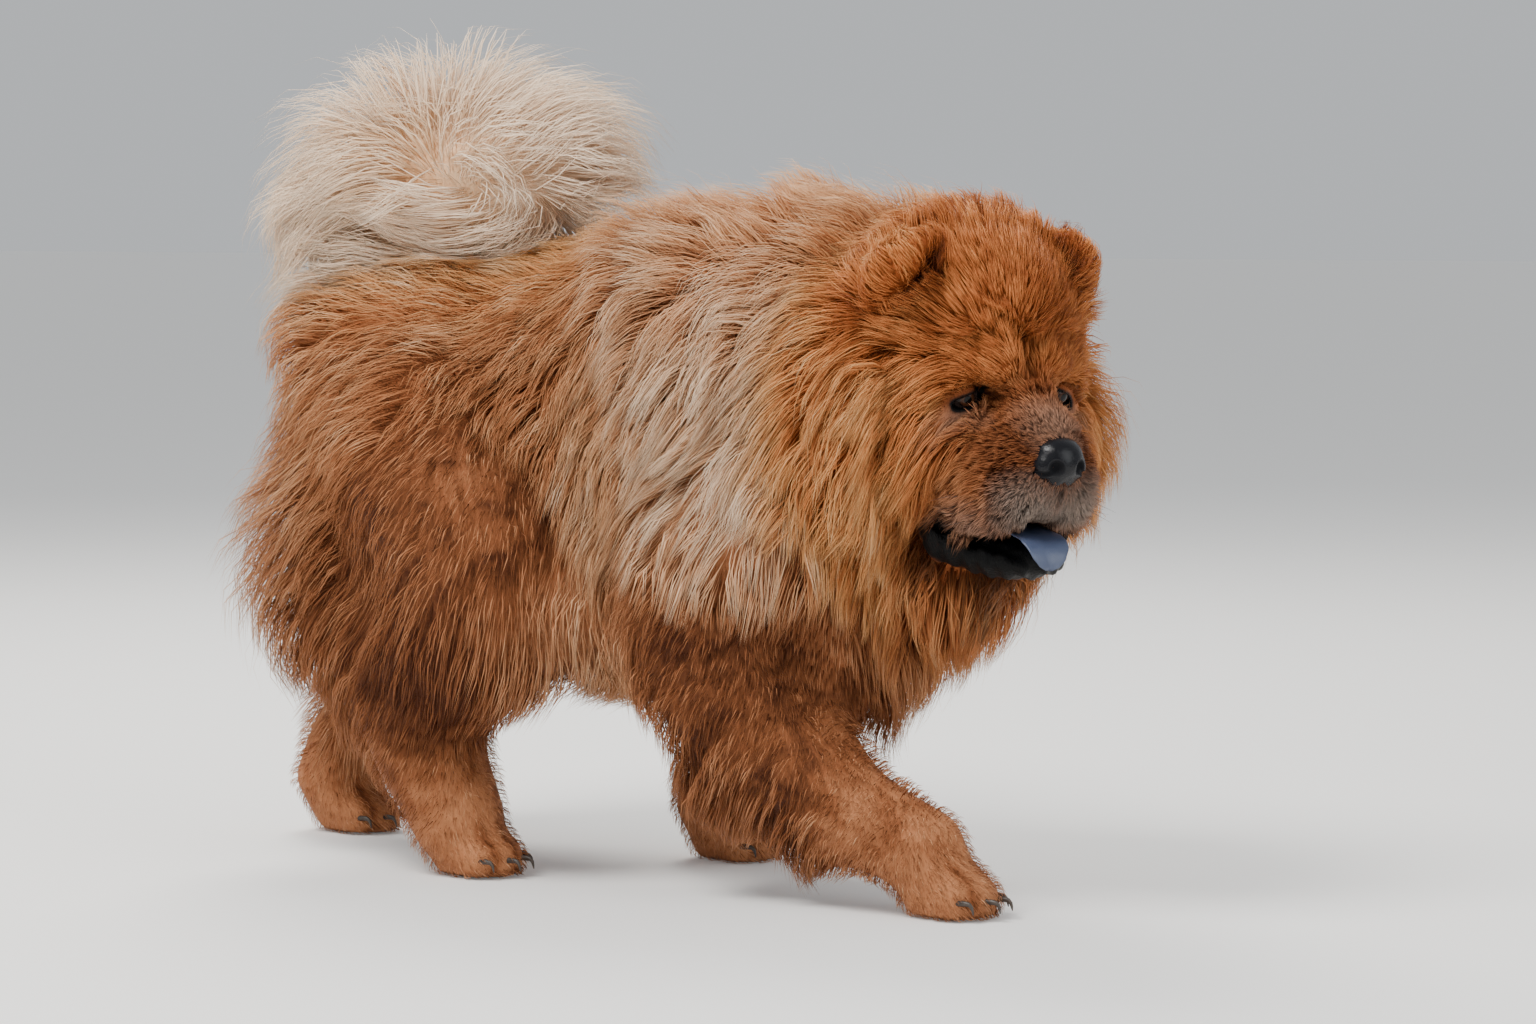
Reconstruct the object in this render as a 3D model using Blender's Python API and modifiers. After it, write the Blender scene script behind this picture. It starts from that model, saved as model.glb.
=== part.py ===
"""A chow chow, life size, walking, with its head turned to its right and its mouth open.

The solids give the outline out to the tips of the coat. Lengths are in metres, +Z is up, the
dog walks along +X and its left is +Y. The forms are placed about a point on the floor under
the middle of the back, and are moved at the end so that the origin is on the floor under the
middle of the outline.
"""

import math

import bmesh
import bpy
from mathutils import Euler, Matrix, Vector

# Driving dimensions of the dog
MANE_TOP = 0.588  # over the withers
BACK_TOP = 0.535  # along the loin
RUMP_X = -0.262
HIP_X = -0.205
SHOULDER_X = 0.165
HEAD_PLACE = Vector((0.345, -0.100, 0.414))  # between the eyes
HEAD_TURN = math.radians(-28)
HEAD_DIP = math.radians(12)
EYE_HALF_GAP = 0.0425
EYE_RADIUS = 0.0120
EAR_HALF_GAP = 0.077
LEG_SPREAD = 0.108  # of a leg from the middle plane

# Gap between pieces that touch
GAP = 0.0003

# Grain of the fused forms
BODY_GRAIN = 0.010
HEAD_GRAIN = 0.006
FACE_GRAIN = 0.003
LEATHER_GRAIN = 0.0018

# Colours
COAT = (0.42, 0.17, 0.07)
CREAM = (0.75, 0.55, 0.36)
BLACK = (0.02, 0.02, 0.025)
SLATE = (0.10, 0.12, 0.22)
HORN = (0.05, 0.04, 0.035)

# Legs: from the shoulder or hip, by the elbow or knee and the wrist or hock, to the ankle.
# The right foreleg reaches forward and the left one trails, the right hind leg stands under
# the hip and the left hind leg pushes off.
LEGS = {
    "foreleg_right": {
        "joints": [
            (SHOULDER_X, -0.092, 0.345),
            (0.078, -LEG_SPREAD, 0.220),
            (0.188, -LEG_SPREAD, 0.088),
        ],
        "radii": [0.104, 0.093, 0.056, 0.045],
        "paw": (0.292, -LEG_SPREAD),
        "feather": [
            ((0.100, 0.118), (0.062, 0.050, 0.082), 38),
            ((0.165, 0.062), (0.058, 0.040, 0.044), 28),
        ],
    },
    "foreleg_left": {
        "joints": [
            (SHOULDER_X - 0.020, 0.090, 0.345),
            (0.052, LEG_SPREAD - 0.004, 0.225),
            (-0.020, LEG_SPREAD - 0.006, 0.102),
        ],
        "radii": [0.098, 0.084, 0.056, 0.047],
        "paw": (-0.036, LEG_SPREAD - 0.008),
        "feather": [((-0.018, 0.135), (0.050, 0.044, 0.072), -12)],
    },
    "hindleg_right": {
        "joints": [
            (HIP_X, -0.082, 0.350),
            (-0.152, -LEG_SPREAD, 0.238),
            (-0.222, -LEG_SPREAD + 0.008, 0.130),
        ],
        "radii": [0.118, 0.098, 0.066, 0.053],
        "paw": (-0.172, -LEG_SPREAD + 0.010),
        "feather": [((-0.276, 0.190), (0.052, 0.054, 0.095), 14)],
    },
    "hindleg_left": {
        "joints": [
            (HIP_X, 0.082, 0.350),
            (-0.262, LEG_SPREAD - 0.004, 0.235),
            (-0.402, LEG_SPREAD - 0.016, 0.140),
        ],
        "radii": [0.118, 0.094, 0.060, 0.049],
        "paw": (-0.434, LEG_SPREAD - 0.018),
        "feather": [((-0.352, 0.215), (0.058, 0.054, 0.080), 28)],
    },
}

HEAD = (
    Matrix.Translation(HEAD_PLACE)
    @ Matrix.Rotation(HEAD_TURN, 4, "Z")
    @ Matrix.Rotation(HEAD_DIP, 4, "Y")
)
SIDES = (("right", -1), ("left", 1))


def new_collection(name):
    made = bpy.data.collections.new(name)
    bpy.context.scene.collection.children.link(made)
    return made


for old in list(bpy.data.objects):
    bpy.data.objects.remove(old)
DOG = new_collection("chow_chow")
CUTTERS = new_collection("cutters")
CUTTERS.hide_render = True


def finish(name, colour, roughness):
    """A plain material for one kind of surface."""
    material = bpy.data.materials.new(name)
    material.use_nodes = True
    shader = material.node_tree.nodes["Principled BSDF"]
    shader.inputs["Base Color"].default_value = (*colour, 1.0)
    shader.inputs["Roughness"].default_value = roughness
    shader.inputs["Metallic"].default_value = 0.0
    return material


COAT_FINISH = finish("coat", COAT, 0.9)
OTHER_FINISHES = {
    "tail": finish("tail_coat", CREAM, 0.9),
    "eye": finish("eye", BLACK, 0.1),
    "nose": finish("nose_leather", BLACK, 0.4),
    "tongue": finish("tongue", SLATE, 0.35),
    "claw": finish("claw", HORN, 0.4),
}


# Meshes and objects
def object_of(name, mesh, collection=DOG):
    made = bpy.data.objects.new(name, mesh)
    collection.objects.link(made)
    if collection is CUTTERS:
        made.hide_render = True
        made.display_type = "WIRE"
    return made


def mesh_of(name, shape):
    """Ends a bmesh and gives its mesh."""
    mesh = bpy.data.meshes.new(name)
    shape.to_mesh(mesh)
    shape.free()
    return mesh


def evaluated_mesh(source):
    bpy.context.view_layer.update()
    graph = bpy.context.evaluated_depsgraph_get()
    return bpy.data.meshes.new_from_object(source.evaluated_get(graph))


def apply_modifiers(target):
    target.data = evaluated_mesh(target)
    target.modifiers.clear()


# Round forms, which are fused into one smooth skin
def ellipsoid(shape, centre, radii, turn=(0.0, 0.0, 0.0), place=None, fine=16):
    """Adds an ellipsoid to the bmesh. Turn is in degrees about X, Y and Z, place a frame."""
    angles = [math.radians(t) for t in turn]
    stand = (place or Matrix()) @ Matrix.Translation(centre)
    stand = stand @ Euler(angles).to_matrix().to_4x4() @ Matrix.Diagonal((*radii, 1.0))
    bmesh.ops.create_uvsphere(
        shape, u_segments=fine, v_segments=fine * 3 // 4, radius=1.0, matrix=stand
    )


def pair(shape, centre, radii, turn=(0.0, 0.0, 0.0), place=None, fine=16):
    """An ellipsoid on the left and its mirror image on the right."""
    for _, sign in SIDES:
        at = (centre[0], sign * centre[1], centre[2])
        tilt = (sign * turn[0], turn[1], sign * turn[2])
        ellipsoid(shape, at, radii, tilt, place, fine)


def tapered(shape, points, radii):
    """Adds a round form that tapers along a smooth line through the points."""
    curve = bpy.data.curves.new("line", "CURVE")
    curve.dimensions = "3D"
    curve.bevel_depth = 1.0
    curve.bevel_resolution = 3
    curve.use_fill_caps = True
    curve.resolution_u = 5
    spline = curve.splines.new("BEZIER")
    spline.bezier_points.add(len(points) - 1)
    for knot, point, radius in zip(spline.bezier_points, points, radii):
        knot.co = point
        knot.radius = radius
        knot.handle_left_type = "AUTO"
        knot.handle_right_type = "AUTO"
    guide = object_of("line", curve, collection=CUTTERS)
    mesh = evaluated_mesh(guide)
    bpy.data.objects.remove(guide)
    tube = bmesh.new()
    tube.from_mesh(mesh)
    bmesh.ops.remove_doubles(tube, verts=tube.verts, dist=1e-5)
    tube.to_mesh(mesh)
    tube.free()
    shape.from_mesh(mesh)
    for end in (0, -1):
        ellipsoid(shape, points[end], [radii[end]] * 3)


def fused(name, shape, grain, rounds, triangles, collection=DOG):
    """Makes the overlapping forms of a bmesh one smooth skin of about so many triangles."""
    made = object_of(name, mesh_of(name, shape), collection=collection)
    remesh = made.modifiers.new("fuse", "REMESH")
    remesh.mode = "VOXEL"
    remesh.voxel_size = grain
    smooth = made.modifiers.new("smooth", "SMOOTH")
    smooth.factor = 0.5
    smooth.iterations = rounds
    apply_modifiers(made)
    made.data.calc_loop_triangles()
    thin = made.modifiers.new("thin", "DECIMATE")
    thin.ratio = min(1.0, triangles / len(made.data.loop_triangles))
    thin.use_collapse_triangulate = True
    apply_modifiers(made)
    return keep_room(made)


# Cutting and parting
def grown(source, growth):
    """A cutter in the shape of the object, larger by the growth on every side."""
    shape = bmesh.new()
    shape.from_mesh(source.data)
    shape.normal_update()
    for vertex in shape.verts:
        vertex.co += vertex.normal * growth
    return object_of("grown_" + source.name, mesh_of("grown", shape), collection=CUTTERS)


def keep_room(piece):
    """Notes the room that the piece takes up with its gap, before anything is cut from it."""
    room = grown(piece, 1.5 * GAP)
    room.name = "room_" + piece.name
    return piece


def cut(target, cutter, operation="DIFFERENCE"):
    boolean = target.modifiers.new("cut", "BOOLEAN")
    boolean.operation = operation
    boolean.object = cutter
    apply_modifiers(target)


def make_room(target, *pieces):
    """Cuts the target back, so that each piece lies in it with the gap all round."""
    for piece in pieces:
        cut(target, CUTTERS.objects["room_" + piece.name])


def keep_largest(target):
    """Drops the crumbs that a cut leaves beside the main body."""
    shape = bmesh.new()
    shape.from_mesh(target.data)
    unseen = set(shape.verts)
    largest = set()
    while unseen:
        island = set()
        front = [next(iter(unseen))]
        while front:
            vertex = front.pop()
            if vertex in island:
                continue
            island.add(vertex)
            front += [edge.other_vert(vertex) for edge in vertex.link_edges]
        unseen -= island
        largest = max(largest, island, key=len)
    crumbs = [vertex for vertex in shape.verts if vertex not in largest]
    bmesh.ops.delete(shape, geom=crumbs, context="VERTS")
    shape.to_mesh(target.data)
    shape.free()


def halved(mesh, point, normal):
    """The mesh on the far side of the plane, closed again where it was cut."""
    shape = bmesh.new()
    shape.from_mesh(mesh)
    found = bmesh.ops.bisect_plane(
        shape,
        geom=shape.verts[:] + shape.edges[:] + shape.faces[:],
        dist=1e-6,
        plane_co=point,
        plane_no=normal,
        clear_inner=True,
    )
    rim = [part for part in found["geom_cut"] if isinstance(part, bmesh.types.BMEdge)]
    bmesh.ops.triangle_fill(shape, edges=rim, use_beauty=True)
    bmesh.ops.recalc_face_normals(shape, faces=shape.faces)
    return mesh_of(mesh.name, shape)


def split(target, name, point, normal):
    """Parts the object at a plane. The side the normal points to becomes the named piece."""
    axis = Vector(normal).normalized()
    far = halved(target.data, Vector(point) + axis * GAP / 2, axis)
    target.data = halved(target.data, Vector(point) - axis * GAP / 2, -axis)
    return object_of(name, far)


def take_out(whole, name, sleeve):
    """Gives what lies in the sleeve as a piece of its own, and takes it from the whole."""
    piece = object_of(name, whole.data.copy())
    cut(piece, sleeve, "INTERSECT")
    keep_largest(piece)
    cut(whole, CUTTERS.objects["room_" + sleeve.name])
    keep_largest(whole)
    return piece


# Body
def heel_of(leg):
    """Where the leg meets its paw."""
    return Vector((leg["paw"][0] - 0.020, leg["paw"][1], 0.052))


def body():
    """Mane, chest, trunk, rump and the four legs, as one form before it is parted."""
    shape = bmesh.new()
    ellipsoid(shape, (RUMP_X, 0.0, BACK_TOP - 0.163), (0.165, 0.158, 0.163))
    ellipsoid(shape, (-0.100, 0.0, BACK_TOP - 0.155), (0.200, 0.152, 0.155))
    ellipsoid(shape, (0.060, 0.0, 0.350), (0.190, 0.162, 0.185))
    ellipsoid(shape, (-0.045, 0.0, 0.250), (0.165, 0.150, 0.108), (0, 6, 0))
    ellipsoid(shape, (RUMP_X - 0.098, 0.0, BACK_TOP - 0.095), (0.074, 0.120, 0.075))
    # Mane over the withers, round the neck and down the chest
    ellipsoid(shape, (-0.012, 0.0, MANE_TOP - 0.128), (0.122, 0.140, 0.116))
    ellipsoid(shape, (0.090, 0.0, MANE_TOP - 0.160), (0.150, 0.172, 0.160))
    ellipsoid(shape, (0.175, -0.004, MANE_TOP - 0.185), (0.138, 0.186, 0.185))
    ellipsoid(shape, (0.166, -0.016, 0.264), (0.108, 0.125, 0.128))
    # Breeches: the long coat behind the thighs
    pair(shape, (-0.330, 0.072, 0.272), (0.098, 0.078, 0.138), (0, 8, 0))
    pair(shape, (HIP_X - 0.010, 0.085, 0.315), (0.120, 0.085, 0.125))
    for leg in LEGS.values():
        tapered(shape, [*leg["joints"], heel_of(leg)], leg["radii"])
        for (x, z), radii, lean in leg["feather"]:
            ellipsoid(shape, (x, leg["paw"][1], z), radii, (0, lean, 0))
    return fused("trunk", shape, BODY_GRAIN, 8, 1180)


def part_body(trunk):
    """Names the parts of the body: each leg in its lengths, the mane, the trunk and the rump."""
    for name, leg in LEGS.items():
        shape = bmesh.new()
        top, middle, low = [Vector(joint) for joint in leg["joints"]]
        start = middle.lerp(top, 0.20)
        wide = 0.118 if name.startswith("fore") else 0.138
        tapered(shape, [start, middle, low, heel_of(leg)], [wide, wide - 0.006, 0.095, 0.085])
        sleeve = fused("sleeve_" + name, shape, 0.014, 4, 90, collection=CUTTERS)
        upper = take_out(trunk, name + "_upper", sleeve)
        # The lower length starts below the elbow or knee, the last one at the wrist or hock
        lower = split(upper, name + "_lower", middle.lerp(low, 0.25), low - middle)
        split(lower, name + "_pastern", low, (heel_of(leg) - low) + (low - middle))
    mane = split(trunk, "mane", (0.020, 0.0, 0.380), (0.93, 0.0, 0.37))
    split(mane, "chest", (0.150, 0.0, 0.285), (0.25, 0.0, -1.0))
    rump = split(trunk, "rump", (-0.125, 0.0, 0.400), (-0.98, 0.0, -0.20))
    return mane, rump


def tail():
    """The plume, which lies curled over the rump and opens outward from its middle."""
    shape = bmesh.new()
    ellipsoid(shape, (-0.247, 0.0, 0.609), (0.174, 0.130, 0.095))
    ellipsoid(shape, (-0.354, 0.0, 0.566), (0.094, 0.100, 0.082), (0, -18, 0))
    ellipsoid(shape, (-0.300, 0.0, 0.530), (0.076, 0.064, 0.060))
    return fused("tail", shape, BODY_GRAIN, 6, 300)


# Head
def head():
    """Skull, brows and cheeks, with the coat that stands round the face."""
    shape = bmesh.new()
    ellipsoid(shape, (-0.055, 0.0, 0.045), (0.075, 0.080, 0.085), place=HEAD)
    ellipsoid(shape, (-0.090, 0.0, 0.060), (0.075, 0.098, 0.080), place=HEAD)
    pair(shape, (-0.012, 0.025, 0.031), (0.030, 0.025, 0.024), place=HEAD)
    pair(shape, (-0.034, 0.050, -0.040), (0.050, 0.040, 0.062), place=HEAD)
    ellipsoid(shape, (-0.010, 0.0, -0.070), (0.040, 0.055, 0.050), place=HEAD)
    # Cheek mane and beard
    ellipsoid(shape, (-0.100, 0.0, -0.025), (0.080, 0.156, 0.150), place=HEAD)
    pair(shape, (-0.068, 0.092, -0.055), (0.060, 0.060, 0.094), place=HEAD)
    ellipsoid(shape, (-0.040, 0.0, -0.150), (0.068, 0.085, 0.074), place=HEAD)
    return fused("head", shape, HEAD_GRAIN, 6, 430)


def muzzle():
    """The broad upper muzzle with its hanging lips."""
    shape = bmesh.new()
    ellipsoid(shape, (0.032, 0.0, -0.040), (0.056, 0.044, 0.049), place=HEAD, fine=20)
    pair(shape, (0.048, 0.021, -0.054), (0.038, 0.030, 0.032), place=HEAD, fine=20)
    pair(shape, (0.026, 0.034, -0.068), (0.052, 0.029, 0.036), (0, 0, -8), HEAD, 20)
    ellipsoid(shape, (0.064, 0.0, -0.042), (0.024, 0.028, 0.027), place=HEAD, fine=20)
    return fused("muzzle", shape, FACE_GRAIN, 5, 260)


def lower_jaw():
    """The lower jaw and chin, dropped open."""
    shape = bmesh.new()
    ellipsoid(shape, (0.018, 0.0, -0.119), (0.060, 0.041, 0.017), place=HEAD, fine=20)
    ellipsoid(shape, (0.055, 0.0, -0.118), (0.026, 0.030, 0.014), place=HEAD, fine=20)
    ellipsoid(shape, (-0.025, 0.0, -0.114), (0.045, 0.052, 0.021), place=HEAD, fine=20)
    return fused("lower_jaw", shape, FACE_GRAIN, 4, 150)


def nose():
    """The nose leather, a rounded block with a pit for each nostril."""
    shape = bmesh.new()
    ellipsoid(shape, (0.0780, 0.0, -0.0285), (0.0145, 0.0235, 0.0145), place=HEAD, fine=20)
    pair(shape, (0.0790, 0.0135, -0.0320), (0.0130, 0.0112, 0.0135), place=HEAD, fine=20)
    ellipsoid(shape, (0.0790, 0.0, -0.0430), (0.0095, 0.0085, 0.0110), place=HEAD, fine=20)
    made = fused("nose", shape, LEATHER_GRAIN, 4, 150)
    pits = bmesh.new()
    pair(pits, (0.0925, 0.0125, -0.0325), (0.0055, 0.0042, 0.0038), (0, 0, 20), HEAD, 6)
    cut(made, object_of("nostrils", mesh_of("nostrils", pits), collection=CUTTERS))
    return made


def tongue():
    """The tongue, which comes out over the lower lip towards the dog's right."""
    shape = bmesh.new()
    rows = (
        ((-0.015, 0.000, -0.0990), 0.021, 0.0230, 0.0055, 0),
        ((0.022, -0.002, -0.0965), 0.021, 0.0240, 0.0055, 0),
        ((0.052, -0.006, -0.0945), 0.021, 0.0245, 0.0050, 4),
        ((0.072, -0.009, -0.0960), 0.019, 0.0240, 0.0048, 22),
        ((0.084, -0.012, -0.1020), 0.014, 0.0215, 0.0046, 44),
        ((0.090, -0.014, -0.1075), 0.011, 0.0165, 0.0040, 62),
    )
    for at, half_length, half_width, thickness, lean in rows:
        ellipsoid(shape, at, (half_length, half_width, thickness), (0, lean, 0), HEAD)
    return fused("tongue", shape, 0.0022, 3, 130)


def ear(side, sign):
    """A small thick cupped ear, set wide, with its tip leaning forward."""
    stand = (
        HEAD
        @ Matrix.Translation((-0.062, sign * EAR_HALF_GAP, 0.090))
        @ Matrix.Rotation(math.radians(sign * -28), 4, "Z")
        @ Matrix.Rotation(math.radians(24), 4, "Y")
        @ Matrix.Rotation(math.radians(sign * -18), 4, "X")
    )
    outer = bmesh.new()
    ellipsoid(outer, (0, 0, 0), (0.018, 0.029, 0.042), place=stand, fine=20)
    made = fused("ear_" + side, outer, FACE_GRAIN, 2, 110)
    hollow = bmesh.new()
    ellipsoid(hollow, (0.020, 0, 0.006), (0.022, 0.019, 0.031), place=stand, fine=10)
    cut(made, object_of("hollow", mesh_of("hollow", hollow), collection=CUTTERS))
    return made


def eye(side, sign):
    shape = bmesh.new()
    at = (-0.0075, sign * EYE_HALF_GAP, 0.002)
    ellipsoid(shape, at, [EYE_RADIUS] * 3, place=HEAD, fine=8)
    return keep_room(object_of("eye_" + side, mesh_of("eye", shape)))


# Paws
def toe_places(centre):
    """Where the four toes of a paw lie: the outer two stand a little further back."""
    for across, ahead in ((-0.029, 0.016), (-0.010, 0.030), (0.010, 0.030), (0.029, 0.016)):
        yield Vector((centre[0] + ahead, centre[1] + across, 0.017))


def paw(name, centre):
    """A round, compact paw with four toes and a flat sole."""
    shape = bmesh.new()
    x, y = centre
    ellipsoid(shape, (x - 0.008, y, 0.026), (0.045, 0.040, 0.032))
    ellipsoid(shape, (x - 0.016, y, 0.050), (0.036, 0.036, 0.030))
    for toe in toe_places(centre):
        ellipsoid(shape, toe, (0.023, 0.0125, 0.021))
    made = fused(name, shape, 0.004, 3, 112)
    made.data = halved(made.data, (0, 0, 0), (0, 0, 1))
    return made


def claw(name, toe):
    """A short blunt claw, which leans down from the end of its toe."""
    stand = Matrix.Translation(toe + Vector((0.0190, 0, -0.0035)))
    shape = bmesh.new()
    bmesh.ops.create_cone(
        shape,
        cap_ends=True,
        segments=5,
        radius1=0.0036,
        radius2=0.0013,
        depth=0.014,
        matrix=stand @ Matrix.Rotation(math.radians(114), 4, "Y"),
    )
    bmesh.ops.triangulate(shape, faces=shape.faces)
    return keep_room(object_of(name, mesh_of(name, shape)))


def move_to_origin():
    """Moves everything, so that the origin is on the floor under the middle of the outline."""
    points = [vertex.co for piece in DOG.objects for vertex in piece.data.vertices]
    low = [min(point[axis] for point in points) for axis in range(3)]
    high = [max(point[axis] for point in points) for axis in range(3)]
    centre = Vector(((low[0] + high[0]) / 2, (low[1] + high[1]) / 2, low[2]))
    for piece in DOG.objects:
        piece.data.transform(Matrix.Translation(-centre))
    return centre


def dress():
    """Gives each piece its finish, and shades its round faces smooth."""
    for piece in DOG.objects:
        found = [word for word in piece.name.split("_") if word in OTHER_FINISHES]
        material = OTHER_FINISHES[found[0]] if found else COAT_FINISH
        piece.data.materials.clear()
        piece.data.materials.append(material)
        piece.data.shade_smooth()
        piece.data.set_sharp_from_angle(angle=math.radians(40))


def main():
    eyes = [eye(side, sign) for side, sign in SIDES]
    ears = [ear(side, sign) for side, sign in SIDES]
    leather = nose()
    blue = tongue()
    snout = muzzle()
    jaw = lower_jaw()
    skull = head()
    plume = tail()
    trunk = body()
    make_room(snout, leather, blue, *eyes)
    make_room(jaw, snout, blue)
    make_room(skull, *eyes, blue, snout, jaw, *ears)
    make_room(trunk, plume, *ears, snout, jaw, skull)
    for piece in (snout, jaw, skull, trunk):
        keep_largest(piece)
    for name, leg in LEGS.items():
        made = paw(name + "_paw", leg["paw"])
        for number, toe in enumerate(toe_places(leg["paw"]), 1):
            make_room(made, claw(f"{name}_claw_{number}", toe))
        keep_largest(made)
        make_room(trunk, made)
        keep_largest(trunk)
    part_body(trunk)
    for used in list(CUTTERS.objects):
        bpy.data.objects.remove(used)
    dress()
    return move_to_origin()


if __name__ == "__main__":
    main()
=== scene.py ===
import math

import bmesh
import bpy
import numpy as np
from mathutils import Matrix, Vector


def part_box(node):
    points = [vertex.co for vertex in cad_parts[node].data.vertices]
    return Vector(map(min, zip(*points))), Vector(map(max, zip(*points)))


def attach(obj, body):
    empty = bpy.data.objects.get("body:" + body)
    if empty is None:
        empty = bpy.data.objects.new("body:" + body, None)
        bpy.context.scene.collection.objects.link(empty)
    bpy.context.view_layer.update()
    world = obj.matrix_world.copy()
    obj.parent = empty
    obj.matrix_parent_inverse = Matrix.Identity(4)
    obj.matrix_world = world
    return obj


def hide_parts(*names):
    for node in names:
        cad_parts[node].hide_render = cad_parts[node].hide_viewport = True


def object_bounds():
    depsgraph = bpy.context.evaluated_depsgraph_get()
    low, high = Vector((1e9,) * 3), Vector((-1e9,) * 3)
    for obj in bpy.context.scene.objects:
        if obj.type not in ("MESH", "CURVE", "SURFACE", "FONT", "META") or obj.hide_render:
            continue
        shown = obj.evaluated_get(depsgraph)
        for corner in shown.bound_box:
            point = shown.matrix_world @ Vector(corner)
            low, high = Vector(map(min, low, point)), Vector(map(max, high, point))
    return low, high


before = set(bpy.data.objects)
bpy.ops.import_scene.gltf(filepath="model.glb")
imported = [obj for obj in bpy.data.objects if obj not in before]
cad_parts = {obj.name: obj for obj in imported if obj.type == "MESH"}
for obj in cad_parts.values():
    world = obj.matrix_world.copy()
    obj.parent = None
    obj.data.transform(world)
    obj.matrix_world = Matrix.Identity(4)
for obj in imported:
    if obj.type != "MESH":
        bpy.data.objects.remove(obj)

import openvdb
from mathutils import Matrix, Vector
from mathutils.kdtree import KDTree

SOLIDS_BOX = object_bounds()

# The outline of the coat
# The solids of flesh reach out to the tips of the coat. They are read here as one closed form,
# so that the skin, the locks and their colours can be laid by how deep they lie under it.
VOXEL = 0.005
MARGIN = 0.045  # of empty room round the dog in the volumes
SEAL = 0.0015  # closes the hairline gaps between the solids
LEGS = ("foreleg_right", "foreleg_left", "hindleg_right", "hindleg_left")
LEG_PARTS = ("upper", "lower", "pastern", "paw")
LEG_NODES = [f"{leg}_{part}" for leg in LEGS for part in LEG_PARTS]
HEAD_NODES = ["head", "muzzle", "lower_jaw", "ear_right", "ear_left"]
BODY_NODES = ["mane", "chest", "trunk", "rump", "tail"]
FLESH = HEAD_NODES + BODY_NODES + LEG_NODES

volume_low = np.floor((np.array(SOLIDS_BOX[0]) - MARGIN) / VOXEL).astype(int)
volume_high = np.ceil((np.array(SOLIDS_BOX[1]) + MARGIN) / VOXEL).astype(int)


class Volume:
    """Values on a regular grid of points, read between them in a straight line."""

    def __init__(self, values, low, step):
        self.values = np.ascontiguousarray(values, dtype=np.float32)
        self.low = np.array(low, dtype=np.float64)
        self.step = step

    def at(self, points):
        size = np.array(self.values.shape[:3])
        place = np.clip((points - self.low) / self.step, 0, size - 1.001)
        cell = place.astype(np.int32)
        part = (place - cell).astype(np.float32)
        flat = self.values.reshape(size.prod(), -1)
        start = (cell[:, 0] * size[1] + cell[:, 1]) * size[2] + cell[:, 2]
        found = 0
        for corner in range(8):
            over = np.array((corner >> 2 & 1, corner >> 1 & 1, corner & 1))
            share = np.prod(np.where(over, part, 1 - part), axis=1)
            index = start + (over[0] * size[1] + over[1]) * size[2] + over[2]
            found = found + flat[index] * share[:, None]
        return found[:, 0] if self.values.ndim == 3 else found

    def nearest(self, points):
        size = np.array(self.values.shape[:3])
        cell = np.clip(np.round((points - self.low) / self.step), 0, size - 1).astype(int)
        return self.values[cell[:, 0], cell[:, 1], cell[:, 2]]

    def grid_points(self):
        axes = [self.low[i] + self.step * np.arange(self.values.shape[i]) for i in range(3)]
        return np.stack(np.meshgrid(*axes, indexing="ij"), axis=-1).reshape(-1, 3)


def blurred(values, rounds):
    """Spreads each value over its neighbours, so many times along each axis."""
    for _ in range(rounds):
        for axis in range(3):
            ends = [(0, 0)] * values.ndim
            ends[axis] = (1, 1)
            wide = np.pad(values, ends, mode="edge")
            count = values.shape[axis]
            parts = [np.take(wide, range(i, i + count), axis=axis) for i in range(3)]
            values = 0.25 * parts[0] + 0.5 * parts[1] + 0.25 * parts[2]
    return values


def triangles_of(mesh):
    """The points and triangles of a mesh, each point once."""
    points = np.empty(len(mesh.vertices) * 3, np.float32)
    mesh.vertices.foreach_get("co", points)
    mesh.calc_loop_triangles()
    corners = np.empty(len(mesh.loop_triangles) * 3, np.int32)
    mesh.loop_triangles.foreach_get("vertices", corners)
    whole, same = np.unique(points.reshape(-1, 3).round(6), axis=0, return_inverse=True)
    return whole, same.reshape(-1)[corners].reshape(-1, 3).astype(np.uint32)


def distance_volume(points, triangles, outside, inside):
    """How far each grid point lies outside (+) or inside (-) of a closed form."""
    scale = openvdb.createLinearTransform(voxelSize=VOXEL)
    level = openvdb.FloatGrid.createLevelSetFromPolygons(
        points, triangles=triangles, transform=scale,
        exBandWidth=outside / VOXEL, inBandWidth=inside / VOXEL,
    )
    values = np.empty(volume_high - volume_low + 1, np.float32)
    level.copyToArray(values, ijk=tuple(int(i) for i in volume_low))
    return values


def surface_of(values, low_index, voxel, level):
    """The closed surface in a volume where its values pass the level, in four-sided faces."""
    grid = openvdb.FloatGrid(background=1.0)
    grid.copyFromArray(values.astype(np.float32), ijk=tuple(int(i) for i in low_index))
    grid.transform = openvdb.createLinearTransform(voxelSize=voxel)
    return grid.convertToQuads(isovalue=level)


nearest_distance = None
for number, name in enumerate(FLESH):
    distance = distance_volume(*triangles_of(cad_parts[name].data), 0.04, 0.02)
    if nearest_distance is None:
        nearest_distance = distance
        nearest_node = np.zeros(distance.shape, np.int8)
        continue
    closer = distance < nearest_distance
    nearest_node[closer] = number
    nearest_distance = np.minimum(nearest_distance, distance)

# The sealed form is measured again, as its inside must know nothing of the inner walls
sealed_points, sealed_quads = surface_of(nearest_distance, volume_low, VOXEL, SEAL)
sealed_faces = np.concatenate([sealed_quads[:, [0, 1, 2]], sealed_quads[:, [0, 2, 3]]])
outline = distance_volume(sealed_points, sealed_faces.astype(np.uint32), 0.05, 0.12) + SEAL
OUTLINE = Volume(blurred(outline, 2), volume_low * VOXEL, VOXEL)
NODE = Volume(nearest_node, volume_low * VOXEL, VOXEL)

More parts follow.
